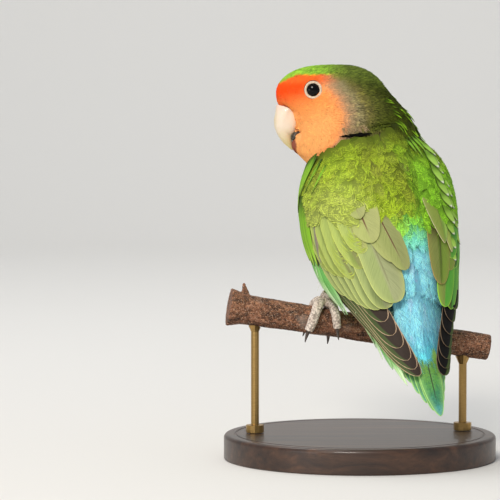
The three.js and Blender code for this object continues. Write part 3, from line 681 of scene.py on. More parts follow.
def rayRoots(rows, apart, jitter):
    # staggered places round the body, found on the skin from the spine outwards
    found, ups = [], []
    for i, tailwards in enumerate(np.arange(*rows)):
        wide = float(widthAt(tailwards))
        count = max(int(math.pi * (wide + float(backAt(tailwards))) / apart), 6)
        for j in range(count):
            turn = 2 * math.pi * (j + 0.5 * (i % 2)) / count + rng.normal(0, jitter) / wide
            t = tailwards + rng.normal(0, jitter)
            way = toRight * math.sin(turn) + toBack * math.cos(turn)
            hit, _, face, _ = skinTree.ray_cast(Vector(onBody(float(shiftAt(t)), 0, t)), Vector(way))
            if hit is not None:
                found.append(hit)
                ups.append(faceNormals[face])
    return np.array(found), np.array(ups)


def bodyFeathers(material):
    roots, normals = rayRoots(bodyCoat["rows"], bodyCoat["apart"], bodyCoat["jitter"])
    tailwards, around = bodyPlaceOf(roots)
    bare = bodyCoat["underWing"]
    underWing = between(np.abs(around), *bare["around"]) & between(tailwards, *bare["tailwards"])
    onHead = (tailwards < body["collarAt"] + 3) & (napeDistance(roots) > -6)
    onTail = (tailwards > rumpCoat["to"]) & (np.abs(around) < 80)
    keep = ~(underWing | onHead | onTail)
    roots, normals, tailwards, around = someOf(keep, roots, normals, tailwards, around)
    count = len(roots)
    onRump = fade(tailwards - rumpCoat["from"], 0, rumpCoat["over"])
    big = fade(tailwards, -40, -10)
    scatter = rng.normal(0, bodyCoat["scatter"], count) * mix(1, 0.5, onRump)
    ways = turned(lieOf(roots, normals), normals, scatter)
    lengths, halves = (
        mix(mix(*bodyCoat[size], big), rumpCoat[size], onRump) * rng.normal(1, vary, count)
        for size, vary in (("length", 0.1), ("width", 0.06))
    )
    ends = mix(bodyCoat["lift"][1], rumpCoat["lift"], onRump) * mix(1, 0.6, fade(tailwards, 30, 44))
    lifts = np.full(count, bodyCoat["lift"][0]), ends * rng.normal(1, 0.12, count)
    tones = rng.normal(0, 0.35, count)
    shown = roots + ways * lengths[:, None] * 0.7
    above = np.abs(around) < bodyCoat["backTo"]
    onMantle, onBreast = (tailwards < split for split in bodyCoat["splitAt"])
    fine, loose = (bodyCoat["vaneTone"], "barbs"), (rumpCoat["vaneTone"], "looseBarbs")
    # each part's feathers, their look, and the threads in each of their rings
    parts = {
        "mantle": (above & onMantle, fine, crinkles["pieces"]),
        "rump": (above & ~onMantle, loose, 2),
        "breast": (~above & onBreast, loose, 1),
        "belly": (~above & ~onBreast, loose, 1),
    }
    for name, (some, look, pieces) in parts.items():
        place = alongSkin(*someOf(some, roots, normals, ways, lengths, halves, lifts), 3)
        own = someOf(some, shown, halves, bodyUnwrap(roots), tones)
        grids = softGrids(place, *own, *look, {**crinkles, "pieces": pieces})
        dress(featherPiece(f"{name}_feathers", grids, faceShare=noHead), material)


# Long loose feathers over the flanks and under the tail
lances = {
    "flank_feathers": {
        "count": 34, "tailwards": (2, 20), "around": (100, 130), "length": (13, 18), "half": 2.2,
        "lift": (1.4, 4.2), "fan": 5, "slot": "body_plumage",
    },
    "undertail_feathers": {
        "count": 30, "tailwards": (40, 60), "around": (92, 150), "length": (12, 16), "half": 1.9,
        "lift": (0.6, 3.4), "fan": 5, "slot": "tail_plumage",
    },
}
lanceShape = {
    "rows": 9, "columns": 5, "ragged": 0.12, "base": 0.5, "shoulder": 0.3, "point": 1.35, "camber": 0.25,
    "ridge": 0.1, "thickness": 0,
}


def lancePiece(name, roots, normals, ways, lengths, halves, lifts, shown, tones):
    place = alongSkin(roots, normals, ways, lengths, halves, lifts, 4)
    grid = growVanes(place, shown, halves, lanceShape, patchesAt(bodyUnwrap(roots)), tones, closed=False)
    return featherPiece(name, [grid], faceShare=noHead)


def lanceFeathers(name, sizes, material):
    count = sizes["count"]
    for label, side in sides.items():
        t, around = (rng.uniform(*sizes[way], count) for way in ("tailwards", "around"))
        roots, normals = onSkin(onOutline(side, t, around, 0))
        ways = turned(lieOf(roots, normals), normals, rng.normal(0, sizes["fan"], count))
        lengths = rng.uniform(*sizes["length"], count)
        halves = sizes["half"] * rng.normal(1, 0.1, count)
        lifts = np.full(count, sizes["lift"][0]), sizes["lift"][1] * rng.uniform(0.6, 1.2, count)
        values = roots, normals, ways, lengths, halves, lifts, roots + ways * 4, rng.normal(0, 0.9, count)
        dress(lancePiece(f"{name}_{label}", *values), material)


# Feathers along a line across the nape and the cheek: from and to are places to the right and up, in the
# world. They lie as the coat does, or along the line with a dip
napeRows = {
    "hackles": {
        "from": (9, 145), "to": (29, 124), "band": 6, "facing": (-0.8, 0.75), "count": 110,
        "length": (3.2, 8.5), "half": (0.45, 0.85), "lift": (0.7, 2.7), "fan": 7,
    },
    # near-black narrow sheets along the fold under the cheek: a painted shadow line
    "shadow_line_feathers": {
        "from": (-8, 128.2), "to": (3.4, 129.2), "band": 0.4, "facing": (-1, -0.1), "count": 40,
        "length": (2.6, 3.4), "half": (0.24, 0.3), "lift": (1.8, 2.1), "fan": 5, "dip": 0.24,
    },
    "cheek_fringe": {
        "from": (-7, 131.2), "to": (3, 132.2), "band": 0.9, "facing": (-1, -0.1), "count": 90,
        "length": (1.8, 2.8), "half": (0.09, 0.12), "lift": (1.1, 2.2), "fan": 16,
    },
}


def rowFeathers(name, sizes, material):
    start, end = np.array(sizes["from"], float), np.array(sizes["to"], float)
    way, count = unit(end - start), sizes["count"]
    away = skinPoints[:, [0, 2]] - start
    down = (away @ way) / float(np.linalg.norm(end - start))
    off = np.abs(away @ np.array((-way[1], way[0])))
    near = between(down, 0, 1) & (off < sizes["band"]) & between(skinNormals[:, 1], *sizes["facing"])
    some = rng.choice(np.flatnonzero(near), count)
    share = down[some]
    roots, normals = onSkin(skinPoints[some] + rng.normal(0, 0.2, (count, 3)))
    ways = lieOf(roots, normals)
    if "dip" in sizes:
        flat = np.array((way[0], 0, way[1] - sizes["dip"]))
        ways = unit(flat - normals * dot(normals, flat)[:, None])
    ways = turned(ways, normals, rng.normal(0, sizes["fan"], count))
    lengths = mix(*sizes["length"], share) * rng.normal(1, 0.12, count)
    ends = sizes["lift"][1] * rng.uniform(0.5, 1.2, count) * mix(0.5, 1, share)
    halves, lifts = mix(*sizes["half"], share), (np.full(count, sizes["lift"][0]), ends)
    values = roots, normals, ways, lengths, halves, lifts, roots, rng.normal(0.2, 1, count)
    dress(lancePiece(name, *values), material)


# The wings: a thin core, tiers of feathers from the lowest up, and small coverts over the shoulder
wing = {
    "coreEnds": (-29, 19),
    "coreShorter": 9,
    "coreEdges": (23, 106),
    "coreThickness": 2.6,
    "coreSunk": 0.9,
    "shell": 0.5,
    "swing": {"left": -2, "right": 8},
    "tilt": 0.24,
}
flight = {
    "rows": 22, "columns": 11, "ragged": 0.03, "base": 0.5, "shoulder": 0.66, "point": 2.2, "camber": 0.25,
    "ridge": 0.12, "thickness": 0.14,
}
covert = {**flight, "rows": 13, "shoulder": 0.5, "ragged": 0.05}
narrow = {**flight, "rows": 14, "columns": 7, "shoulder": 0.5, "point": 1.6}
anyTier = {
    "swing": 0, "tilt": 0.2, "bow": 1.1, "shape": {**narrow, "point": 1.3, "shoulder": 0.3}, "uneven": 0,
    "material": "bendVane",
}
# each tier is given for both wings, with what differs from any tier, and on the right wing
wingTiers = {
    "primaries": {
        "tilt": 0.3, "bow": 1.6, "shape": {**flight, "shoulder": 0.76}, "lifts": ((1.3, 1.2), (0.9, 1.9)),
        "roots": ((7, 111), (-2, 72)), "halves": (4.1,) * 7, "material": "primaryVane",
        "tips": ((72.5, 27), (69.5, 31.5), (65.5, 38), (60, 44.5), (54.5, 49), (48.5, 53), (43, 57)),
        "right": {
            "swing": 0.5, "bow": 2.0, "roots": ((7, 97), (-2, 67)), "material": "shadedPrimary",
            "halves": (4.4, 4.4, 4.6, 4.8, 5.2, 5.6, 6.0), "lifts": ((0.1, 1.4), (0.9, 3.6)),
            "tips": ((72.5, 27), (69.5, 31), (65.5, 36), (60.5, 41.5), (55, 45.5), (49.5, 49), (44, 52)),
        },
    },
    "secondaries": {
        "swing": 0.5, "tilt": 0.3, "bow": 1.5, "shape": flight, "lifts": ((1.0, 2.5), (1.1, 2.7)),
        "roots": ((6, 86), (2, 36)), "halves": (3.6, 3.8, 4.0, 4.3, 4.8, 5.4, 6.2), "material": "greenVane",
        "tips": ((33, 84), (36.5, 77), (39.8, 70), (42.3, 63), (44, 55.5), (44.8, 45), (43.7, 32.5)),
        "right": {
            "swing": 0, "material": "brightVane", "roots": ((4, 86), (-2, 38)),
            "halves": (2.9, 3.0, 3.1, 3.3, 3.6, 3.9, 4.3), "lifts": ((2.2, 4.2), (1.2, 3.0)),
            "tips": ((34, 98), (36.8, 90), (39.4, 82), (41.8, 73), (43.8, 63), (45.2, 51), (45.6, 36)),
        },
    },
    "tertials": {
        "swing": 1, "tilt": 0.24, "bow": 1.3, "shape": {**flight, "shoulder": 0.55},
        "lifts": ((-0.2, 2.5), (-1.4, 2.7)), "roots": ((-6, 29), (-9, 35)), "halves": (5.2, 5.0),
        "material": "scapularVane", "tips": ((32.5, 14.5), (29, 23)),
        "right": {
            "swing": 0, "material": "shadedVane", "roots": ((-4, 30), (-2, 42)), "halves": (4.9, 4.4),
            "lifts": ((0.0, 2.9), (0.2, 3.2)), "tips": ((37.5, 27.5), (31, 40)),
        },
    },
    "edge_coverts": {
        "bow": 1.2, "shape": narrow, "lifts": ((2.2, 2.6), (2.8, 3.3)), "roots": ((-20, 112), (-12, 84)),
        "halves": (1.5,) * 7, "uneven": 0.3,
        "tips": ((-1, 118), (3, 116), (7, 113), (10.5, 110), (13.5, 106), (16, 101), (17.5, 95)),
        "right": {
            "lifts": ((2.4, 3.9), (2.4, 3.9)), "roots": ((-21, 29), (22, 44)), "halves": (1.9,) * 8,
            "material": "tippedVane", "uneven": 0.9,
            "tips": (
                (-12.5, 33), (-6.5, 39), (-1, 43), (4.5, 45), (10, 45.5), (15.5, 45), (21.5, 47), (28, 49.5),
            ),
        },
    },
    "alula": {
        "shape": narrow, "lifts": ((2.8, 3.2), (2.9, 3.4)), "roots": ((3, 78), (4, 76)), "halves": (0.9,),
        "material": "alulaVane", "tips": ((18, 88),),
    },
    "flank_coverts": {
        "tilt": 0.05, "bow": 1.0, "lifts": ((1.4, 3.4), (1.8, 3.6)), "roots": ((4, 114), (18, 96)),
        "halves": (1.9,) * 6 + (1.8,), "material": "flank",
        "tips": ((22, 122), (26, 122), (28.5, 125), (31, 118), (35, 122), (35.5, 112), (38, 104)),
    },
    "vent_feathers": {
        "tilt": 0.05, "bow": 1.0, "lifts": ((-1.0, 1.2), (-0.5, 1.0)), "roots": ((34, 122), (52, 84)),
        "halves": (2.0, 2.1, 2.1, 2.0, 1.8), "material": "flank",
        "tips": ((47, 132), (52.5, 126), (59.5, 100), (66, 80), (74.5, 61)),
        "right": {"tips": ((44, 132), (48, 126), (52, 116), (56, 106), (60, 98))},
    },
    "bend_coverts": {
        "shape": {**narrow, "point": 1.35, "shoulder": 0.35}, "lifts": ((2.4, 2.9), (2.8, 3.4)),
        "roots": ((-30, 98), (-29, 72)), "halves": (1.2,) * 8, "uneven": 0.6,
        "tips": ((-8, 119), (-10, 114), (-11, 109), (-12, 104), (-13, 99), (-14, 94), (-15, 90), (-16, 86)),
        "right": {
            "lifts": ((1.4, 3.4), (2.4, 4.0)), "roots": ((-27, 31), (11, 51)), "halves": (1.7,) * 9,
            "material": "tippedVane", "uneven": 0.9,
            "tips": (
                (-19.5, 34.5), (-15, 39.5), (-10.5, 43.5), (-5.5, 47), (-1, 49.5), (4, 51.5), (8.5, 53),
                (13, 54), (18.5, 57),
            ),
        },
    },
    "shoulder_streaks": {
        "tilt": 0.1, "lifts": ((3.0, 3.9), (2.8, 3.8)), "roots": ((-27, 69), (-20.5, 55)),
        "halves": (0.9, 0.8, 0.9), "tips": ((-14, 88), (-12.5, 80), (-9.5, 72)),
        "right": {
            "roots": ((-31, 29), (-27, 16)), "tips": ((-20, 34), (-20, 29), (-17, 24), (-18.5, 19)),
            "halves": (1.0, 1.1, 1.0, 0.9), "lifts": ((1.0, 2.4), (0.6, 2.0)),
        },
    },
    "greater_coverts": {
        "swing": 0.5, "tilt": 0.24, "bow": 1.2, "shape": {**covert, "rows": 18},
        "lifts": ((1.2, 3.0), (1.2, 3.2)), "roots": ((-14, 84), (-6, 48)),
        "halves": (3.2, 3.6, 4.0, 4.3, 4.6, 4.6), "material": "coverVane", "fringed": True,
        "tips": ((22.5, 84), (25.5, 79), (27.5, 73), (30, 65), (28, 52.5), (23, 45)),
        "right": {
            "swing": 0, "material": "brightVane", "fringed": False,
            "tips": ((22.5, 80), (25, 73), (27, 66), (29, 58), (29, 49), (26, 42)),
        },
    },
    "scapulars": {
        "swing": 1, "tilt": 0.04, "bow": 1.1, "shape": {**covert, "shoulder": 0.4, "point": 1.9},
        "lifts": ((0.0, 3.4), (-2.0, 3.6)), "roots": ((-12, 41), (-16, 44)), "halves": (7.1, 4.8),
        "material": "scapularVane", "tips": ((20.5, 35), (9.8, 38.5)),
        "right": {
            "swing": 0, "shape": {**covert, "shoulder": 0.3, "point": 1.45}, "material": "mossVane",
            "lifts": ((-0.8, 3.6), (-0.6, 3.8)), "roots": ((-8, 30), (-4, 42)), "halves": (6.4, 5.2),
            "tips": ((21.5, 31), (24, 41)),
        },
    },
}
fringe = {
    "rings": 44, "pieces": 3, "arc": 1.2, "from": 0.45, "radius": (0.02, 0.98), "span": (0.3, 0.8),
    "ripple": 0.012, "width": 0.009, "height": 0.4, "loft": 0.08, "bright": 0.1, "mottle": 0.8,
    "share": 0.25, "patchy": 1.3,
}


def radiusAt(tailwards, turn):
    return np.hypot(widthAt(tailwards) * np.cos(turn), backAt(tailwards) * np.sin(turn))


def wingPlace(side, swing, root, tip, bow, half, lifts, tilt):
    # points of wing feathers, along and across them, off the body's outline
    def place(along, across, height):
        first, start, last, end, low, high, wide = perFeather((*root.T, *tip.T, *lifts.T, half), along)

        def centreline(u):
            return mix(first, last, u), mix(start, end, np.maximum(u, 0) ** bow) + swing

        tailwards, around = centreline(along)
        before, fromBack = centreline(np.maximum(along - 0.02, 0))
        after, onwards = centreline(np.maximum(along, 0.0) + 0.02)
        radius = radiusAt(tailwards, np.radians(around))
        alongSpine = after - before
        roundBody = np.radians(onwards - fromBack) * radius
        length = np.hypot(alongSpine, roundBody)
        offset = across * wide
        tilted = offset * mix(min(wing["tilt"], tilt), tilt, np.clip(along, 0, 1) ** 3)
        return onOutline(
            side,
            tailwards - offset * roundBody / length,
            around + np.degrees(offset * alongSpine / (length * radius)),
            mix(low, high, along) + tilted + height,
        )

    return place


def coreLift(tailwards, around):
    # how high the wing's core stands off the body's outline
    share, across = (
        np.clip((value - low) / (high - low), 0, 1)
        for value, (low, high) in ((tailwards, wing["coreEnds"]), (around, wing["coreEdges"]))
    )
    swell = 1 - (1 - np.minimum(share / 0.4, 1)) ** 2
    return 0.6 + wing["coreThickness"] * swell * (1 - (across * 2 - 1) ** 4) * (1 - 0.4 * share**2)


def wingCore(name, side):
    shape = bmesh.new()
    bmesh.ops.create_grid(shape, x_segments=26, y_segments=30, size=1)
    swing = wing["swing"][name] / 2
    for vertex in shape.verts:
        across, along = vertex.co.x, (vertex.co.y + 1) / 2
        front = wing["coreEnds"][0] + (7 if across < 0 else 2) * across**2
        tailwards = mix(front, wing["coreEnds"][1] - wing["coreShorter"] - 5 * across**2, along)
        around = mix(*wing["coreEdges"], (across + 1) / 2)
        lift = float(coreLift(tailwards, around)) - wing["coreSunk"]
        vertex.co = Vector(onOutline(side, tailwards, around + swing, lift)) * mm
    bmesh.ops.recalc_face_normals(shape, faces=shape.faces)
    middle = onOutline(side, 0, 60, 30) * mm
    if (Vector(middle) - shape.faces[0].calc_center_median()).dot(shape.faces[0].normal) < 0:
        bmesh.ops.reverse_faces(shape, faces=shape.faces)
    bmesh.ops.solidify(shape, geom=shape.faces, thickness=wing["shell"] * mm)
    return newPiece(f"wing_core_{name}", meshOf(shape, "core"))


cape = {
    "rows": (-31, 14, 2.3),
    "apart": 2.8,
    "radius": 27,  # of the body there
    # degrees round, and the last row there
    "ends": {
        "left": (
            (6, 16, 21, 25, 30, 36, 42, 47, 53, 60, 69, 82, 90, 97),
            (8, 8, 5, 1.5, 2, 2, 1, 4, 6, 3, -1, -4, -14, -34),
        ),
        "right": ((6, 14, 22, 30, 40, 50, 60, 70, 80, 106), (4, 6, 9, 12, 12, 8, 3, -3, -9, -22)),
    },
    "edges": (6, 106),
    "length": 7.6,
    "width": 2.5,
    "lift": (0.35, 0.6),
    "scatter": 9,
    "jitter": (0.6, 1.3),  # tailwards, and degrees round
    "raggedEnd": 2.0,
    "vaneTone": -0.8,
}


def capeFeathers(name, side, material):
    # small loose coverts from the back out over the wing's core
    swing = wing["swing"][name] / 2
    each = int(math.radians(cape["edges"][1] - cape["edges"][0]) * cape["radius"] / cape["apart"])
    places = np.array([
        (tailwards, mix(*cape["edges"], min((j + 0.5 * (i % 2)) / each, 1)))
        for i, tailwards in enumerate(np.arange(*cape["rows"]))
        for j in range(each + 1)
    ])
    places += rng.normal(0, cape["jitter"], (len(places), 2))
    t, around = places.T
    front = -30 + 8 * np.maximum((around - 60) / 46, 0) ** 2
    last = np.interp(around, *cape["ends"][name]) + rng.normal(0, cape["raggedEnd"], len(t))
    places = places[(t > front) & (t < last)]
    t, around = places.T
    count = len(t)
    far = t + cape["length"] * rng.normal(1, 0.1, count)
    tips = np.stack((far, around + rng.normal(-1, cape["scatter"], count)), 1)

    def level(t, around):
        return mix(-1.0, coreLift(t, around), fade(around, 2, 26))

    ends = level(*tips.T) + cape["lift"][1] * rng.normal(1, 0.12, count)
    lifts = np.stack((level(t, around) + cape["lift"][0], ends), 1)
    halves = cape["width"] * rng.normal(1, 0.07, count)
    place = wingPlace(side, swing, places, tips, 1, halves, lifts, 0.1)
    roots = onOutline(side, mix(t, far, 0.7), around + swing, 0)
    tones, patches = rng.normal(0, 0.35, count), np.stack((around / 130, 0.5 + t / 90), 1)
    grids = softGrids(place, roots, halves, patches, tones, cape["vaneTone"], threads=crinkles)
    dress(featherPiece(f"shoulder_feathers_{name}", grids, side > 0, noHead), material)


def tierFeathers(name, side, tier, sizes, material, loose):
    tips = np.array(sizes["tips"], float)
    tips += rng.normal(0, sizes["uneven"], tips.shape) * (1, 2)
    share = np.linspace(0, 1, len(tips))[:, None]
    roots, lifts = (mix(*np.array(sizes[key], float), share) for key in ("roots", "lifts"))
    swing, halves = wing["swing"][name] * sizes["swing"], np.array(sizes["halves"])
    place = wingPlace(side, swing, roots, tips, sizes["bow"], halves, lifts, sizes["tilt"])
    spots = onOutline(side, roots[:, 0], roots[:, 1] + swing, lifts[:, 0])
    tones, unwrap = rng.normal(0, 0.8, len(tips)), cellsFor(len(tips))
    # the next feather's edge, in millimetres across this one
    turn = np.radians(tips[:, 1])
    apart = np.abs(np.diff(turn)) * radiusAt(tips[:, 0], turn)[1:]
    coveredTo = np.append(halves[1:] - apart, -30.0)
    grid = growVanes(place, spots, halves, sizes["shape"], unwrap, tones, coveredTo=coveredTo)
    dress(featherPiece(f"{tier}_{name}", [grid], side > 0), material)
    if sizes.get("fringed"):
        threads = growCrinkles(place, onOutline(side, *mix(roots, tips, 0.85).T, 0), fringe, unwrap, tones)
        dress(featherPiece(f"{tier}_fringe_{name}", [threads], side > 0, noHead), loose)


# The tail: a broad middle feather over five a side
tail = {
    "root": 46, "reach": 88.5, "shorter": 2.6, "spread": 1.75, "middleHalf": 4.9, "half": 3.4,
    "rootSpread": 0.9, "middle": (0.4, 1.0), "level": 1.7, "step": 0.75, "droop": 0.012, "sunk": 1.1,
    "curve": 0.35,
    "shape": {**flight, "rows": 20, "shoulder": 0.55, "point": 1.75, "camber": 0.3},
}


def tailFeathers(material):
    order = np.arange(-5, 6.0)
    away = np.abs(order)
    halves = np.where(away == 0, tail["middleHalf"], tail["half"])
    right = [mid + order * apart for mid, apart in zip(tail["middle"], (tail["rootSpread"], tail["spread"]))]
    reach = tail["reach"] - tail["shorter"] * away - tail["curve"] * away**2
    levels = tail["level"] + tail["step"] * away + 0.35 * (order < 0)

    def place(along, sideways, height):
        first, last, end, wide, level = perFeather((*right, reach, halves, levels), along)
        tailwards = mix(tail["root"], end, along)
        offset = mix(first, last, along) + sideways * wide
        sunk = tail["sunk"] * fade(along, 0.45, 0.25)
        back = backAt(tailwards) - level - tail["droop"] * offset**2 - sunk + height
        return onBody(shiftAt(tailwards) + offset, back, tailwards)

    roots = onBody(right[0], backAt(50.0) - levels, tail["root"])
    tones = rng.normal(0, 0.7, len(order))
    grid = growVanes(place, roots, halves, tail["shape"], cellsFor(len(order)), tones)
    dress(featherPiece("tail_feathers", [grid]), material, ("tail",))


tailCoverts = {
    "rows": (39, 60, 1.7), "apart": 1.9, "reach": (-8, 13), "narrower": (0.72, 0.86), "sunk": 0.7,
    "length": (6.5, 8), "width": 1.3, "lift": (0.2, 1.0), "drop": (1.1, 0.42, 0.012),
}


def tailCovertFeathers(material):
    # soft coverts that hide the roots of the tail feathers
    first, end, _ = tailCoverts["rows"]
    places = []
    for i, t in enumerate(np.arange(*tailCoverts["rows"])):
        left, right = (
            edge * mix(1, narrower, (t - first) / (end - first))
            for edge, narrower in zip(tailCoverts["reach"], tailCoverts["narrower"])
        )
        places += [(t, x) for x in np.arange(left + 0.9 * (i % 2), right, tailCoverts["apart"])]
    t, x = (np.array(places) + rng.normal(0, 0.4, (len(places), 2))).T
    count = len(t)
    lengths = rng.uniform(*tailCoverts["length"], count)
    drift = rng.normal(0, 0.6, count) - x * 0.06
    halves = tailCoverts["width"] * rng.normal(1, 0.08, count)
    flat, slope, curve = tailCoverts["drop"]

    def place(along, sideways, height):
        start, middle, length, lean, wide = perFeather((t, x, lengths, drift, halves), along)
        tailwards = start + length * along
        offset = middle + lean * along + sideways * wide
        back = backAt(tailwards) - flat - slope * np.abs(offset) - curve * offset**2
        back += mix(*tailCoverts["lift"], along) + height - tailCoverts["sunk"] * fade(start, 47, 39)
        return onBody(shiftAt(tailwards) + offset, back, tailwards)

    roots = onBody(shiftAt(t) + x, backAt(t), t + lengths * 0.7)
    tones, patches = rng.normal(0, 0.4, count), np.stack((0.5 + x / 40, (t - 20) / 60), 1)
    grids = softGrids(place, roots, halves, patches, tones, 0, "looseBarbs", tipMark=0.55)
    dress(featherPiece("tail_covert_feathers", grids, faceShare=noHead), material)


def spin(shape, axis, steps):
    # a profile turned once round an axis through the middle
    profile = shape.verts[:] + shape.edges[:]
    turn = {"cent": (0, 0, 0), "axis": axis, "angle": 2 * math.pi, "steps": steps, "use_merge": True}
    bmesh.ops.spin(shape, geom=profile, **turn)
    bmesh.ops.remove_doubles(shape, verts=shape.verts, dist=0.00001)
    bmesh.ops.recalc_face_normals(shape, faces=shape.faces)


# Eyes: a wet dark ball in a ring of pale bare skin
eye = {"radius": 3.98, "ringRadius": 3.1, "ringThickness": 0.5, "ringDepth": 0.36, "warts": 0.07}


def eyeParts(name, materials):
    shape = bmesh.new()
    bmesh.ops.create_uvsphere(shape, u_segments=48, v_segments=32, radius=eye["radius"] * mm)
    bmesh.ops.rotate(shape, verts=shape.verts, matrix=Matrix.Rotation(math.pi / 2, 3, "X"))
    bmesh.ops.translate(shape, verts=shape.verts, vec=Vector(eyeCentres[name]) * mm)
    dress(newPiece(f"eyeball_{name}", meshOf(shape, "eyeball")), materials["eye"], (f"eye_{name}",))
    low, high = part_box(f"eyelid_{name}")
    shape = bmesh.new()
    for vertex in bmesh.ops.create_circle(shape, segments=14, radius=1)["verts"]:
        out = eye["ringRadius"] + vertex.co.x * eye["ringThickness"]
        vertex.co = Vector((out, vertex.co.y * eye["ringDepth"], 0)) * mm
    spin(shape, (0, 1, 0), 72)
    for vertex in shape.verts:
        vertex.co += vertex.normal * noise.noise(vertex.co / mm * 2.2) * eye["warts"] * mm * 2
    bmesh.ops.translate(shape, verts=shape.verts, vec=(low + high) / 2)
    ring = newPiece(f"eye_ring_{name}", meshOf(shape, "ring"))
    dress(ring, materials["ring"], (f"eyelid_{name}",))


# Bill, feet, perch and stand
scutes = {"size": 0.75, "depth": 0.13}
barkSize = {"ridge": 0.22, "crack": 0.14, "grain": 0.1}


def growScutes(place, normal):
    distances = noise.voronoi(place / scutes["size"], distance_metric="DISTANCE")[0]
    return (0.5 - min(distances[0], 0.9)) * scutes["depth"] * 2


slope, swung = math.radians(9.3), math.radians(6)  # of the branch, downwards and away from the viewer
perchWay = Vector((math.cos(slope) * math.cos(swung), math.cos(slope) * math.sin(swung), -math.sin(slope)))


def growBark(place, normal):
    # ridges that run along the branch, and finer grain across them
    along = place.dot(perchWay)
    across = place - perchWay * along
    ridges = noise.noise(across * 0.42 + perchWay * along * 0.09)
    cracks = 1 - abs(noise.noise(across * 0.8 + perchWay * along * 0.16 + Vector((7, 3, 1)))) * 4
    grain = noise.noise(place * 1.1)
    end = abs(normal.dot(perchWay)) > 0.8
    height = ridges * barkSize["ridge"] - max(cracks, 0) * barkSize["crack"] + grain * barkSize["grain"]
    return 0 if end else height


def hardParts(materials):
    dress(billTop, materials["bill"], ("bill_upper",))
    dress(billUnder, materials["billUnder"], ("bill_lower",))
    for name in sides:
        toes = (f"leg_{name}",) + tuple(f"toe_{name}_{i}" for i in range(1, 5))
        foot = refined(f"foot_{name}", toes, voxel=0.26, smoothing=5, swell=0.45, grow=growScutes)
        dress(foot, materials["foot"], toes)
        claws = tuple(f"claw_{name}_{i}" for i in range(1, 5))
        horn = refined(f"claws_{name}", claws, voxel=0.14, smoothing=5, grow=0.06)
        dress(horn, materials["claw"], claws)
    branch = refined("branch", ("perch",), voxel=0.42, smoothing=4, grow=growBark)
    dress(branch, materials["bark"], ("perch",))


stand = {"radius": 54.5, "height": 10, "edge": 1.6}


def standParts(materials):
    r, h, e = stand["radius"], stand["height"], stand["edge"]
    edge = [(r - e + e * math.sin(a), h - e + e * math.cos(a)) for a in np.linspace(0, math.pi / 2, 7)]
    groove = [(r - 5.2, h), (r - 4.9, h - 0.35), (r - 4.5, h - 0.35), (r - 4.2, h)]
    profile = [(0, h)] + groove + edge + [(r, 0.5), (r - 0.5, 0), (0, 0)]
    shape = bmesh.new()
    corners = [shape.verts.new((radius * mm, 0, height * mm)) for radius, height in profile]
    for pair in zip(corners, corners[1:]):
        shape.edges.new(pair)
    spin(shape, (0, 0, 1), 96)
    base = newPiece("base", meshOf(shape, "base"))
    base.data.set_sharp_from_angle(angle=math.radians(35))
    dress(base, materials["standWood"], ("stand_base",))
    for name in sides:
        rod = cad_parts[f"stand_rod_{name}"]
        rod.data.materials.clear()
        rod.data.materials.append(materials["brass"])


# Materials
def ink(text):
    # a colour as a screen shows it
    values = [int(text[i : i + 2], 16) / 255 for i in (0, 2, 4)]
    return tuple(v / 12.92 if v <= 0.04045 else ((v + 0.055) / 1.055) ** 2.4 for v in values) + (1,)


class Wire:
    # a node's output: arithmetic on it adds the next node
    def __init__(self, socket):
        self.socket, self.tree = socket, socket.id_data

    def math(self, operation, *others):
        return addNode(self.tree, "Math", enumerate((self, *others)), operation=operation)

    def vector(self, operation, other=(0, 0, 0)):
        output = 1 if operation in ("DOT_PRODUCT", "LENGTH", "DISTANCE") else 0
        return addNode(self.tree, "VectorMath", enumerate((self, other)), output, operation=operation)

    def rise(self, low, high, start=0.0, end=1.0):
        values = enumerate((self, low, high, start, end))
        return addNode(self.tree, "MapRange", values, interpolation_type="SMOOTHSTEP")

    def parts(self, kind="SeparateXYZ"):
        first = addNode(self.tree, kind, ((0, self),))
        return [Wire(socket) for socket in first.socket.node.outputs]

    def __add__(self, other):
        return self.math("ADD", other)

    def __sub__(self, other):
        return self.math("SUBTRACT", other)

    def __rsub__(self, other):
        return addNode(self.tree, "Math", enumerate((other, self)), operation="SUBTRACT")

    def __mul__(self, other):
        return self.math("MULTIPLY", other)

    def __truediv__(self, other):
        return self.math("DIVIDE", other)


def join(value, socket):
    if isinstance(value, Wire):
        value.tree.links.new(value.socket, socket)
    else:
        socket.default_value = ink(value) if isinstance(value, str) else value


def addNode(tree, kind, values=(), output=0, **settings):
    node = tree.nodes.new("ShaderNode" + kind)
    for name, value in settings.items():
        setattr(node, name, value)
    for name, value in values:
        join(value, node.inputs[name])
    return Wire(node.outputs[output])


def layered(colour, *layers):
    # a layer has a share, and either a colour or its name in plumage, or a tuple that multiplies those below
    for share, over in layers:
        values = (0, share), (6, colour), (7, plumage.get(over, over))  # a Mix node's sockets for colours
        mode = "MULTIPLY" if isinstance(over, tuple) else "MIX"
        colour = addNode(share.tree, "Mix", values, 2, data_type="RGBA", blend_type=mode, clamp_result=True)
    return colour


def speckle(place, scale, detail=2.0, rough=0.5, bend=0.0):
    values = {"Vector": place, "Scale": scale, "Detail": detail, "Roughness": rough, "Distortion": bend}
    return addNode(place.tree, "TexNoise", values.items())


def ramp(value, stops):
    colour = addNode(value.tree, "ValToRGB", ((0, value),))
    elements = colour.socket.node.color_ramp.elements
    while len(elements) < len(stops):
        elements.new(0.5)
    for element, (position, text) in zip(elements, stops):
        element.position, element.color = position, ink(text)
    return colour


def newGroup(name, inputs, outputs):
    group = bpy.data.node_groups.new(name, "ShaderNodeTree")
    for way, kinds in (("INPUT", inputs), ("OUTPUT", outputs)):
        for kind, labels in kinds.items():
            for label in labels:
                group.interface.new_socket(label, in_out=way, socket_type=f"NodeSocket{kind}")
    given = {socket.name: Wire(socket) for socket in group.nodes.new("NodeGroupInput").outputs}
    return group, given, group.nodes.new("NodeGroupOutput").inputs


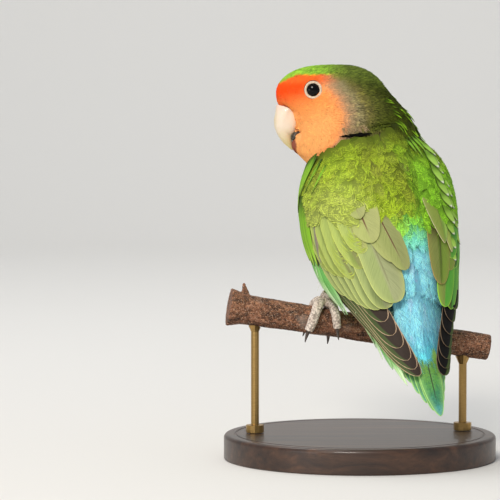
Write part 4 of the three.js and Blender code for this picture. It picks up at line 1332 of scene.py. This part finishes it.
def use(tree, group, values):
    node = tree.nodes.new("ShaderNodeGroup")
    node.node_tree = group
    for name, value in values.items():
        join(value, node.inputs[name])
    return [Wire(socket) for socket in node.outputs]


def newMaterial(name, **fixed):
    material = bpy.data.materials.new(name)
    material.use_nodes = True
    for socket, value in fixed.items():
        material.node_tree.nodes["Principled BSDF"].inputs[socket.replace("_", " ")].default_value = value
    return material, material.node_tree


def finished(material, colour, height=None, depth=0.0, strength=1.0):
    inputs = material.node_tree.nodes["Principled BSDF"].inputs
    join(colour, inputs["Base Color"])
    if height:
        values = {"Height": height, "Distance": depth * mm, "Strength": strength}
        join(addNode(material.node_tree, "Bump", values.items()), inputs["Normal"])
    return material


def attribute(tree, name, output="Fac"):
    return addNode(tree, "Attribute", (), output, attribute_name=name)


def marksOf(tree):
    # along and across a feather, and its tone
    return attribute(tree, "vane", "Vector").parts()


def objectPlace(tree, centre=(0, 0, 0)):
    return inMillimetres(addNode(tree, "TexCoord", (), "Object"), centre)


def inMillimetres(place, centre):
    return place.vector("SUBTRACT", tuple(np.array(centre) * mm)).vector("MULTIPLY", (1000, 1000, 1000))


# The colours of the plumage, by place on the bird. The skin and the coat share them
plumage = {
    "crownFront": "93c23e", "crownBack": "64742e", "brow": "ff5216", "overEye": "f26a2a",
    "lowCheek": "ffb26a", "mantle": "8c9a30", "mantleDark": "7a7a3c", "mantleBright": "93ab2c",
    "backGreen": "84c434", "neck": "2c330a", "shoulder": "a0ac54", "rumpGreen": "90e45c",
    "rumpTeal": "80eacc", "rumpBlue": "90e2fa", "rumpViolet": "c4d0fc", "tailRoot": "62dcf8",
    "belly": "b9cf62", "flank": "a9dd8c", "bib": "f3a583", "undertail": "8fd0a0",
    "brownSpot": "5f5038", "shadedChin": "8c4a38",
    "face": (
        (0.0, "ff9c52"), (0.13, "ffa05e"), (0.23, "d0986e"), (0.33, "ac906c"), (0.45, "938862"),
        (0.6, "77703f"), (0.75, "585c28"), (1.0, "3c4412"),
    ),
}
# tailwards, right, half-sizes and strength
brownSpots = (-10.5, 2.0, 5, 2.2, 0.85), (-28, -3.5, 3.5, 4.5, 0.6), (-10, -12.1, 2.4, 1.5, 0.4)
# the throat under the bill, a dark reddish brown: painted shade below the bill
shadedChin = {"middle": (-14.5, 0, -15.5), "radius": 4.2, "edge": 1.6}


def plumageGroup():
    inputs = {"Vector": ("Place",), "Float": ("Face Share", "Body Share", "Tone")}
    group, given, result = newGroup("plumageColour", inputs, {"Color": ("Colour",)})
    away = inMillimetres(given["Place"], bodyCentre)
    tailwards, back, right = (away.vector("DOT_PRODUCT", tuple(way)) for way in (toTail, toBack, toRight))
    wide, fine = speckle(away, 0.11, 3), speckle(away, 0.55, 3, 0.6)
    wander = (wide - 0.5) * 12
    strip = (tailwards + wander + right * 0.25) * given["Body Share"]
    colour = layered(
        plumage["mantle"],
        (wide.rise(0.35, 0.65), "mantleBright"),
        (fine.rise(0.52, 0.72, 0, 0.55), "mantleDark"),
        ((right + wander).rise(-1, 10) * tailwards.rise(-28, -10, 0, 0.8), "backGreen"),
        ((right + wander).rise(-10, -22) * tailwards.rise(-20, 4), "shoulder"),
        ((tailwards + wander).rise(-14, -34, 0, 0.85), "neck"),
        (strip.rise(9, 18), "rumpGreen"),
        (strip.rise(15, 22), "rumpTeal"),
        (strip.rise(20, 28), "rumpBlue"),
        (fine.rise(0.5, 0.7, 0, 0.5) * strip.rise(26, 34), "rumpViolet"),
        (strip.rise(52, 62, 0, 0.8), "tailRoot"),
    )
    for t, r, length, width, strength in brownSpots:
        down, over = (tailwards - t) / length, (right - r) / width
        colour = layered(colour, ((down * down + over * over).rise(1, 0.2, 0, strength), "brownSpot"))
    below = layered(
        plumage["belly"],
        (tailwards.rise(12, 34), "flank"),
        (tailwards.rise(34, 48), "undertail"),
        ((tailwards + wander).rise(-14, -24), "bib"),
    )
    under = back + wander * 0.3 - tailwards.rise(28, 50, 0, 6)
    colour = layered(colour, (under.rise(1, -5) * given["Body Share"], below))
    # head: the face ends along a curve, the cap along a line above the eye
    face = inMillimetres(given["Place"], headCentre)
    across, _, up = face.parts()
    soft = (speckle(face, 0.5, 2) - 0.5) * 3
    past = across - 5.2 + (up + 5.5).math("POWER", 2) * 0.036 + soft
    browLine = up + soft - (across + 10) * 0.25
    capLine = up + (across + 1).math("MAXIMUM", 0) * 0.2 + (across + 14).math("MINIMUM", 0) * -0.5
    capFrom = across.rise(-4, 6, 12, 9)
    fromChin = face.vector("DISTANCE", shadedChin["middle"]) + soft
    crown = layered(plumage["crownFront"], (across.rise(-10, 8), "crownBack"))
    head = layered(
        ramp((past + 5) / 24, plumage["face"]),
        ((up - across * 0.3).rise(6, -7) * past.rise(2, -6), "lowCheek"),
        (browLine.rise(-1, 9) * across.rise(-2, -12), "brow"),
        (up.rise(8, 10.5) * across.rise(5, -8), "overEye"),
        ((capLine + soft * 0.5).rise(capFrom, 25.2 - capFrom), crown),
        # painted shade on the chin and throat under the bill
        (fromChin.rise(shadedChin["radius"], shadedChin["radius"] - shadedChin["edge"]), "shadedChin"),
    )
    # each feather is a little lighter or darker than the next
    colour = layered(
        colour,
        (given["Face Share"], head),
        (given["Tone"].rise(0, 2.5, 0, 0.8), (1.8, 1.8, 1.4, 1)),
        (given["Tone"].rise(0, -2.5, 0, 0.75), (0.35, 0.38, 0.4, 1)),
    )
    join(colour, result["Colour"])
    return group


def vaneGroup():
    # a large feather: darker centre, bright rim, shaft, fine slanting barbs, and painted shadow where the
    # next feather lies over it
    inputs = {
        "Vector": ("Marks",),
        "Color": ("Centre", "Outer Web", "Rim", "Shaft"),
        "Float": ("Margin", "Rim Width", "Shaft Share", "Web From", "Soft Edge", "Inner Shade", "Cover"),
    }
    group, given, result = newGroup("vaneColour", inputs, {"Color": ("Colour",), "Float": ("Barbs",)})
    along, across, tone = given["Marks"].parts()
    side = across.math("ABSOLUTE")
    slant = along - side * 0.22
    barbs = speckle(addNode(group, "CombineXYZ", enumerate((slant * 90, across * 1.2, tone * 9))), 1, 2, 0.6)
    inside = given["Margin"] + barbs * 0.15
    shaft = side.rise(0.06, 0.025) * along.rise(0.93, 0.7)
    colour = layered(
        given["Centre"],
        (across.rise(given["Web From"], given["Web From"] + 0.2), given["Outer Web"]),
        # painted shadow: darker where the next feather lies over this one
        (given["Cover"].rise(0.0, 1.0) * given["Inner Shade"], (0.3, 0.34, 0.26, 1)),
        (barbs.rise(0.4, 0.75, 0, 0.3), (0.3, 0.35, 0.3, 1)),
        (tone.rise(0, 2.5, 0, 0.25), (1.4, 1.4, 1.2, 1)),
        (tone.rise(0, -2.5, 0, 0.3), (0.5, 0.55, 0.5, 1)),
        (inside.rise(2.6, 0.2, 0, given["Soft Edge"]), given["Rim"]),
        (inside.rise(given["Rim Width"] + 0.25, given["Rim Width"]), given["Rim"]),
        (shaft * given["Shaft Share"], given["Shaft"]),
    )
    join(colour, result["Colour"])
    join(barbs + shaft, result["Barbs"])
    return group


plumageColour, vaneColour = plumageGroup(), vaneGroup()


def skinMaterial():
    material, tree = newMaterial("bare_skin", Roughness=0.8)
    share = attribute(tree, "faceShare")
    place = addNode(tree, "TexCoord", (), "Object")
    # the skin shows only in the gaps between feathers, so it is darkened there as painted shade
    values = {"Place": place, "Face Share": share, "Body Share": 1.0, "Tone": share.rise(0, 1, -1.2, -0.3)}
    return finished(material, use(tree, plumageColour, values)[0], speckle(place, 900, 3), 0.2)


def coatMaterial(name, shade, bodyShare=1.0):
    material, tree = newMaterial(name, Roughness=0.8, Specular_IOR_Level=0.1)
    along, _, tone = marksOf(tree)
    values = {
        "Place": attribute(tree, "root", "Vector"), "Face Share": attribute(tree, "faceShare"),
        "Body Share": bodyShare, "Tone": tone,
    }
    colour = use(tree, plumageColour, values)[0]
    # painted shade: each feather darkens towards its root, under the feathers that lie over it
    return finished(material, layered(colour, (along.rise(0.75, 0.1, 0, shade), (0.22, 0.25, 0.2, 1))))


def vaneSurface(material, centre, outer, rim, shaft, rimWidth, shaftShare, webFrom, soft, coverShade):
    tree = material.node_tree
    values = {
        "Marks": attribute(tree, "vane", "Vector"), "Margin": attribute(tree, "margin"),
        "Cover": attribute(tree, "cover"), "Centre": centre, "Outer Web": outer, "Rim": rim, "Shaft": shaft,
        "Rim Width": rimWidth, "Shaft Share": shaftShare, "Web From": webFrom, "Soft Edge": soft,
        "Inner Shade": coverShade,
    }
    return finished(material, *use(tree, vaneColour, values), 0.12)


def vaneMaterial(
    name, colours, rimWidth, shaftShare, rough=0.55, webFrom=0.02, soft=0.3, coverShade=0.0, tip=None
):
    # colours: centre, outer web, rim and shaft
    centre, outer, rim, shaft = colours.split()
    material, tree = newMaterial(name, Roughness=rough, Specular_IOR_Level=0.25)
    if tip:
        centre = layered(centre, (marksOf(tree)[0].rise(0.35, 0.65), tip))
    return vaneSurface(material, centre, outer, rim, shaft, rimWidth, shaftShare, webFrom, soft, coverShade)


def edgeMaterial(name, stops, dark):
    # narrow feathers, with painted shade along their edges where the one before lies over them, and bright at
    # the tip
    material, tree = newMaterial(name, Roughness=0.7, Specular_IOR_Level=0.15)
    along, _, tone = marksOf(tree)
    # painted shade along each feather's edges
    edge = attribute(tree, "margin").rise(0.4, 0.12, 0, 0.75)
    shaded = tone.rise(0, -2, 0, 0.4), (0.4, 0.45, 0.3, 1)
    return finished(material, layered(ramp(along, stops), (edge, dark), shaded))


def tailMaterial():
    # green at the coverts, teal towards the tip, finely mottled, with a bright rim
    material, tree = newMaterial("tail_vane", Roughness=0.55, Sheen_Weight=0.05)
    along = marksOf(tree)[0]
    place = objectPlace(tree)
    mottled = speckle(place, 1.3, 4, 0.7)
    wander = (speckle(place, 0.25, 2) - 0.5) * 0.25
    colour = layered(
        ramp(along + wander, ((0.45, "7fae38"), (0.68, "57a04a"), (0.84, "3d8f60"), (0.97, "46a6a8"))),
        (mottled.rise(0.52, 0.36, 0, 0.7), "2c6a56"),
        (mottled.rise(0.55, 0.7, 0, 0.5), "7cc484"),
    )
    return vaneSurface(material, colour, colour, "aee680", "2a2018", 0.3, 0.95, 0.0, 0.3, 0.5)


def lanceMaterial(name, base, tip, dark):
    material, tree = newMaterial(name, Roughness=0.85, Specular_IOR_Level=0.1)
    along, across, tone = marksOf(tree)
    shaft = across.math("ABSOLUTE").rise(0.16, 0.05, 0, 0.5)
    colour = layered(base, (along.rise(0.3, 0.9), tip), (tone.rise(0.2, 1.6, 0, 0.85), dark), (shaft, dark))
    return finished(material, colour)


def eyeMaterial():
    material, tree = newMaterial("wet_eye", Roughness=0.05, Specular_IOR_Level=0.18)
    place = objectPlace(tree, eyeCentres["left"]).vector("MULTIPLY", (1, 0, 1))
    out = place.vector("LENGTH")
    iris = out.rise(1.7, 1.9) * out.rise(2.9, 2.5) * speckle(place, 2.5, 3)
    return finished(material, layered("040303", (iris, "1c110b")))


def hornMaterial(name, low, high, root):
    material, tree = newMaterial(name, Roughness=0.38, Subsurface_Weight=0.15, Coat_Weight=0.15)
    tree.nodes["Principled BSDF"].inputs["Subsurface Radius"].default_value = (0.002, 0.0014, 0.0008)
    place = objectPlace(tree, headCentre)
    right, _, up = place.parts()
    grain = speckle(place.vector("MULTIPLY", (0.5, 1, 1)), 0.7, 4)
    height = up + grain * 3
    atTip = (right - grain).rise(-21.5, -23.5, 0, 0.6)
    colour = layered(high, (height.rise(-6, -15), low), (height.rise(-2, 3, 0, 0.7), root), (atTip, low))
    return finished(material, colour, speckle(place.vector("MULTIPLY", (0.6, 0.3, 2.5)), 1.2, 3), 0.12, 0.6)


def plainMaterial(name, dark, light, size, rough, depth):
    material, tree = newMaterial(name, Roughness=rough)
    grain = speckle(objectPlace(tree), size, 5, 0.6)
    return finished(material, layered(dark, (grain.rise(0.3, 0.7), light)), grain, depth)


def footMaterial():
    material, tree = newMaterial("scaled_foot", Roughness=0.7)
    place = objectPlace(tree)
    values = {"Vector": place, "Scale": 1 / scutes["size"]}
    cells = addNode(tree, "TexVoronoi", values.items()).socket.node
    distance, pick = Wire(cells.outputs["Distance"]), Wire(cells.outputs["Color"])
    colour = layered(
        "f0e2d4",
        (speckle(place, 0.5, 3).rise(0.35, 0.65), "d4c2b4"),
        (distance.rise(0.42, 0.75, 0, 0.6), "6b5b52"),
        (pick.parts("SeparateColor")[0].rise(0.82, 0.92, 0, 0.6), "7a6a60"),
    )
    return finished(material, colour, 1 - distance, 0.12)


def barkMaterial():
    material, tree = newMaterial("bark", Roughness=0.85)
    place = objectPlace(tree)
    base, flecks, grains = (
        speckle(place.vector("MULTIPLY", (stretch, 1, 1)), *values)
        for stretch, *values in ((0.5, 0.35, 6, 0.75), (0.7, 1.4, 3, 0.75), (0.8, 2.3, 2, 0.6))
    )
    colour = layered(
        ramp(base, ((0.36, "34211a"), (0.47, "62402c"), (0.56, "8a5a40"), (0.68, "a87c62"))),
        (flecks.rise(0.55, 0.64, 0, 0.8), "c08a64"),
        (flecks.rise(0.45, 0.36, 0, 0.85), "1e1410"),
        (grains.rise(0.58, 0.68, 0, 0.7), "d2b49c"),
        (grains.rise(0.42, 0.34, 0, 0.7), "2c1c14"),
        (speckle(place, 0.09, 2).rise(0.55, 0.7, 0, 0.45), "a09488"),
    )
    return finished(material, colour, base + flecks * 0.5, 0.5)


def woodMaterial():
    material, tree = newMaterial("stand_wood", Roughness=0.42, Coat_Weight=0.2)
    place = objectPlace(tree)
    bent = place.vector("ADD", place.vector("MULTIPLY", (0, 0.02, 0)))
    grain = speckle(bent.vector("MULTIPLY", (0.012, 0.22, 0.22)), 1, 6, 0.6, 0.4)
    pores = speckle(place.vector("MULTIPLY", (0.12, 2.4, 2.4)), 1, 2)
    colour = ramp(grain, ((0.3, "24160f"), (0.5, "3b2619"), (0.7, "553825")))
    return finished(material, layered(colour, (pores.rise(0.6, 0.7, 0, 0.5), "1a0f0a")), pores, 0.05)


def brassMaterial():
    material, tree = newMaterial("brushed_brass", Metallic=1.0)
    brush = speckle(objectPlace(tree).vector("MULTIPLY", (0.4, 0.4, 6)), 1, 3)
    join(brush.rise(0.2, 0.8, 0.28, 0.46), tree.nodes["Principled BSDF"].inputs["Roughness"])
    return finished(material, layered("8d6f3f", (brush, "c2a066")))


materials = {
    "skin": skinMaterial(),
    "head": coatMaterial("head_coat", 0.15),
    "body": coatMaterial("body_coat", 0.45),
    "wingSmall": coatMaterial("wing_coat", 0.45, 0.0),
    "greenVane": vaneMaterial("green_vane", "a2a87a 9caa6a d0da80 5a3a2a", 0.24, 0.25, coverShade=0.5),
    "coverVane": vaneMaterial("covert_vane", "a2a666 a2b25e ccd86a 5a3a2a", 0.18, 0.2, coverShade=0.5),
    "scapularVane": vaneMaterial("scapular_vane", "a6aa6c a8b068 b8bc74 6b3c30", 0.1, 0.9),
    "bendVane": edgeMaterial(
        "bend_vane", ((0.1, "4c6c18"), (0.35, "7cae2c"), (0.75, "88b834"), (1.0, "b4dc58")), "1c260a"
    ),
    "brightVane": vaneMaterial(
        "bright_vane", "809444 5aa838 a4dc48 3a3a20", 0.26, 0.3, webFrom=-0.2, soft=0.15, coverShade=0.85
    ),
    # the right tertials' brown inner web, darkened further as painted shade on the far wing
    "shadedVane": vaneMaterial(
        "shaded_vane", "5c4a36 7c9638 b8985a 4a3426", 0.14, 0.5, webFrom=-0.25, soft=0.15, coverShade=0.7,
        tip="a8b060",
    ),
    "mossVane": vaneMaterial("moss_vane", "b4c65a a6ce56 d8cca0 4a4426", 0.14, 0.2, soft=0.08, coverShade=0.6),
    "tippedVane": edgeMaterial(
        "tipped_vane", ((0.25, "6c942e"), (0.5, "9cc850"), (0.84, "acd462"), (0.92, "e6eed0")), "141e08"
    ),
    "alulaVane": vaneMaterial(
        "alula_vane", "8c7c6c 94a274 a8b48c 3c2e26", 0.1, 0.3, webFrom=0.1, soft=0.1
    ),
    "primaryVane": vaneMaterial(
        "primary_vane", "42322a 5a6a3c d8b896 2c201a", 0.18, 0.6, 0.6, 0.45, 0.0, 0.5
    ),
    # a darker copy of primary_vane for the right wing's primaries: painted shade on the far wing
    "shadedPrimary": vaneMaterial("shaded_primary", "070504 4a5a2c 84705a 060403", 0.1, 0.6, 0.85, 0.35, 0.0),
    "tail": tailMaterial(),
    "hackles": lanceMaterial("hackle", "4a6410", "94c42c", "0c1006"),
    # near-black: the painted shadow line under the cheek
    "shadow_line_feathers": lanceMaterial("shadow_line", "080704", "0e0c06", "050402"),
    "cheek_fringe": lanceMaterial("cheek_fringe", "b39a74", "d2bc96", "8a7a5c"),
    "flank": lanceMaterial("flank_feather", "98dc7c", "dcf6c4", "54a44c"),
    "eye": eyeMaterial(),
    "ring": plainMaterial("eye_ring", "c4a888", "ead8c2", 1.6, 0.8, 0.05),
    "bill": hornMaterial("bill_horn", "d6c488", "eedcc6", "ecccba"),
    "billUnder": hornMaterial("bill_under_horn", "2c2824", "58524a", "2a2622"),
    "foot": footMaterial(),
    "claw": plainMaterial("claw_horn", "2a211d", "5a4b42", 1.4, 0.4, 0.04),
    "bark": barkMaterial(),
    "standWood": woodMaterial(),
    "brass": brassMaterial(),
}
print("materials made")

# Dressing the bird
skinShare = headShare(skinPoints) * (bodyPlaceOf(skinPoints)[0] < body["collarAt"])
skin.data.attributes.new("faceShare", "FLOAT", "POINT").data.foreach_set("value", skinShare.astype(float))
dress(skin, materials["skin"], skinNodes)
headFeathers(materials["head"])
bodyFeathers(materials["body"])
for name, sizes in lances.items():
    lanceFeathers(name, sizes, materials["flank"])
for name, sizes in napeRows.items():
    rowFeathers(name, sizes, materials[name])
for name, side in sides.items():
    dress(wingCore(name, side), materials["skin"], (f"wing_{name}",))
    for tier, sizes in wingTiers.items():
        own = {**anyTier, **sizes, **sizes.get(name, {})}
        tierFeathers(name, side, tier, own, materials[own["material"]], materials["wingSmall"])
    capeFeathers(name, side, materials["wingSmall"])
tailFeathers(materials["tail"])
tailCovertFeathers(materials["body"])
print("feathers laid")
for name in sides:
    eyeParts(name, materials)
hardParts(materials)
standParts(materials)
print("eyes, bill, feet, perch and stand done")

# Floor, lights and camera
studio = {
    "floor": "e9e6e1",
    "sweep": (3.0, 1.6, 0.7),  # half-width, distance to the wall, and radius of the curve, in metres
    "world": 0.5,
    "sky": "dfe6ee",
    "key": {"place": (-0.3, -1.07, 0.8), "size": 0.36, "watts": 11, "colour": "fff8ee"},
    "fill": {"place": (-0.9, -0.8, 0.08), "size": 0.5, "watts": 2.2, "colour": "ffffff"},
    "top": {"place": (-0.3, 0.3, 1.0), "size": 0.6, "watts": 4, "colour": "ffffff"},
    "wall": {"place": (0, 0.9, 1.6), "size": 1.2, "watts": 12, "colour": "ffffff", "target": (0, 2.3, 0.7)},
}
view = {"lens": 200, "sensor": 36, "distance": 1111, "elevation": 3, "target": (-44, 0, 83.6)}


def makeFloor():
    wide, far, curve = studio["sweep"]
    shape = bmesh.new()
    bend = [(far + curve * math.sin(a), curve - curve * math.cos(a)) for a in np.linspace(0, math.pi / 2, 16)]
    profile = [(-3.0, 0)] + bend + [(far + curve, 3.5)]
    corners = [shape.verts.new((-wide, y, z)) for y, z in profile]
    edges = [shape.edges.new(pair) for pair in zip(corners, corners[1:])]
    grown = bmesh.ops.extrude_edge_only(shape, edges=edges)["geom"]
    moved = [item for item in grown if isinstance(item, bmesh.types.BMVert)]
    bmesh.ops.translate(shape, verts=moved, vec=(2 * wide, 0, 0))
    floor = newPiece("floor", meshOf(shape, "floor"))
    floor.data.materials.append(finished(newMaterial("pale_floor", Roughness=0.9)[0], studio["floor"]))


def aimed(name, data, place, way):
    holder = bpy.data.objects.new(name, data)
    holder.location = place
    holder.rotation_euler = way.to_track_quat("-Z", "Y").to_euler()
    bpy.context.scene.collection.objects.link(holder)
    return holder


def makeLight(name, values, target):
    lamp = bpy.data.lights.new(name, "AREA")
    lamp.size, lamp.energy, lamp.color = values["size"], values["watts"], ink(values["colour"])[:3]
    aimed(name, lamp, values["place"], target - Vector(values["place"]))


def makeCamera():
    tilt = math.radians(view["elevation"])
    way = Vector((0, math.cos(tilt), -math.sin(tilt)))
    lens = bpy.data.cameras.new("camera")
    lens.lens, lens.sensor_width = view["lens"], view["sensor"]
    lens.clip_start, lens.clip_end = 0.01, 20
    place = (Vector(view["target"]) - way * view["distance"]) * mm
    bpy.context.scene.camera = aimed("camera", lens, place, way)


makeFloor()
for name in ("key", "fill", "top", "wall"):
    makeLight(name, studio[name], Vector(studio[name].get("target", (0, 0, 0.1))))
world = bpy.data.worlds.new("studio")
world.use_nodes = True
world.node_tree.nodes["Background"].inputs[0].default_value = ink(studio["sky"])
world.node_tree.nodes["Background"].inputs[1].default_value = studio["world"]
bpy.context.scene.world = world
bpy.context.scene.view_settings.view_transform = "Standard"
makeCamera()
print("stage, lights and camera set")
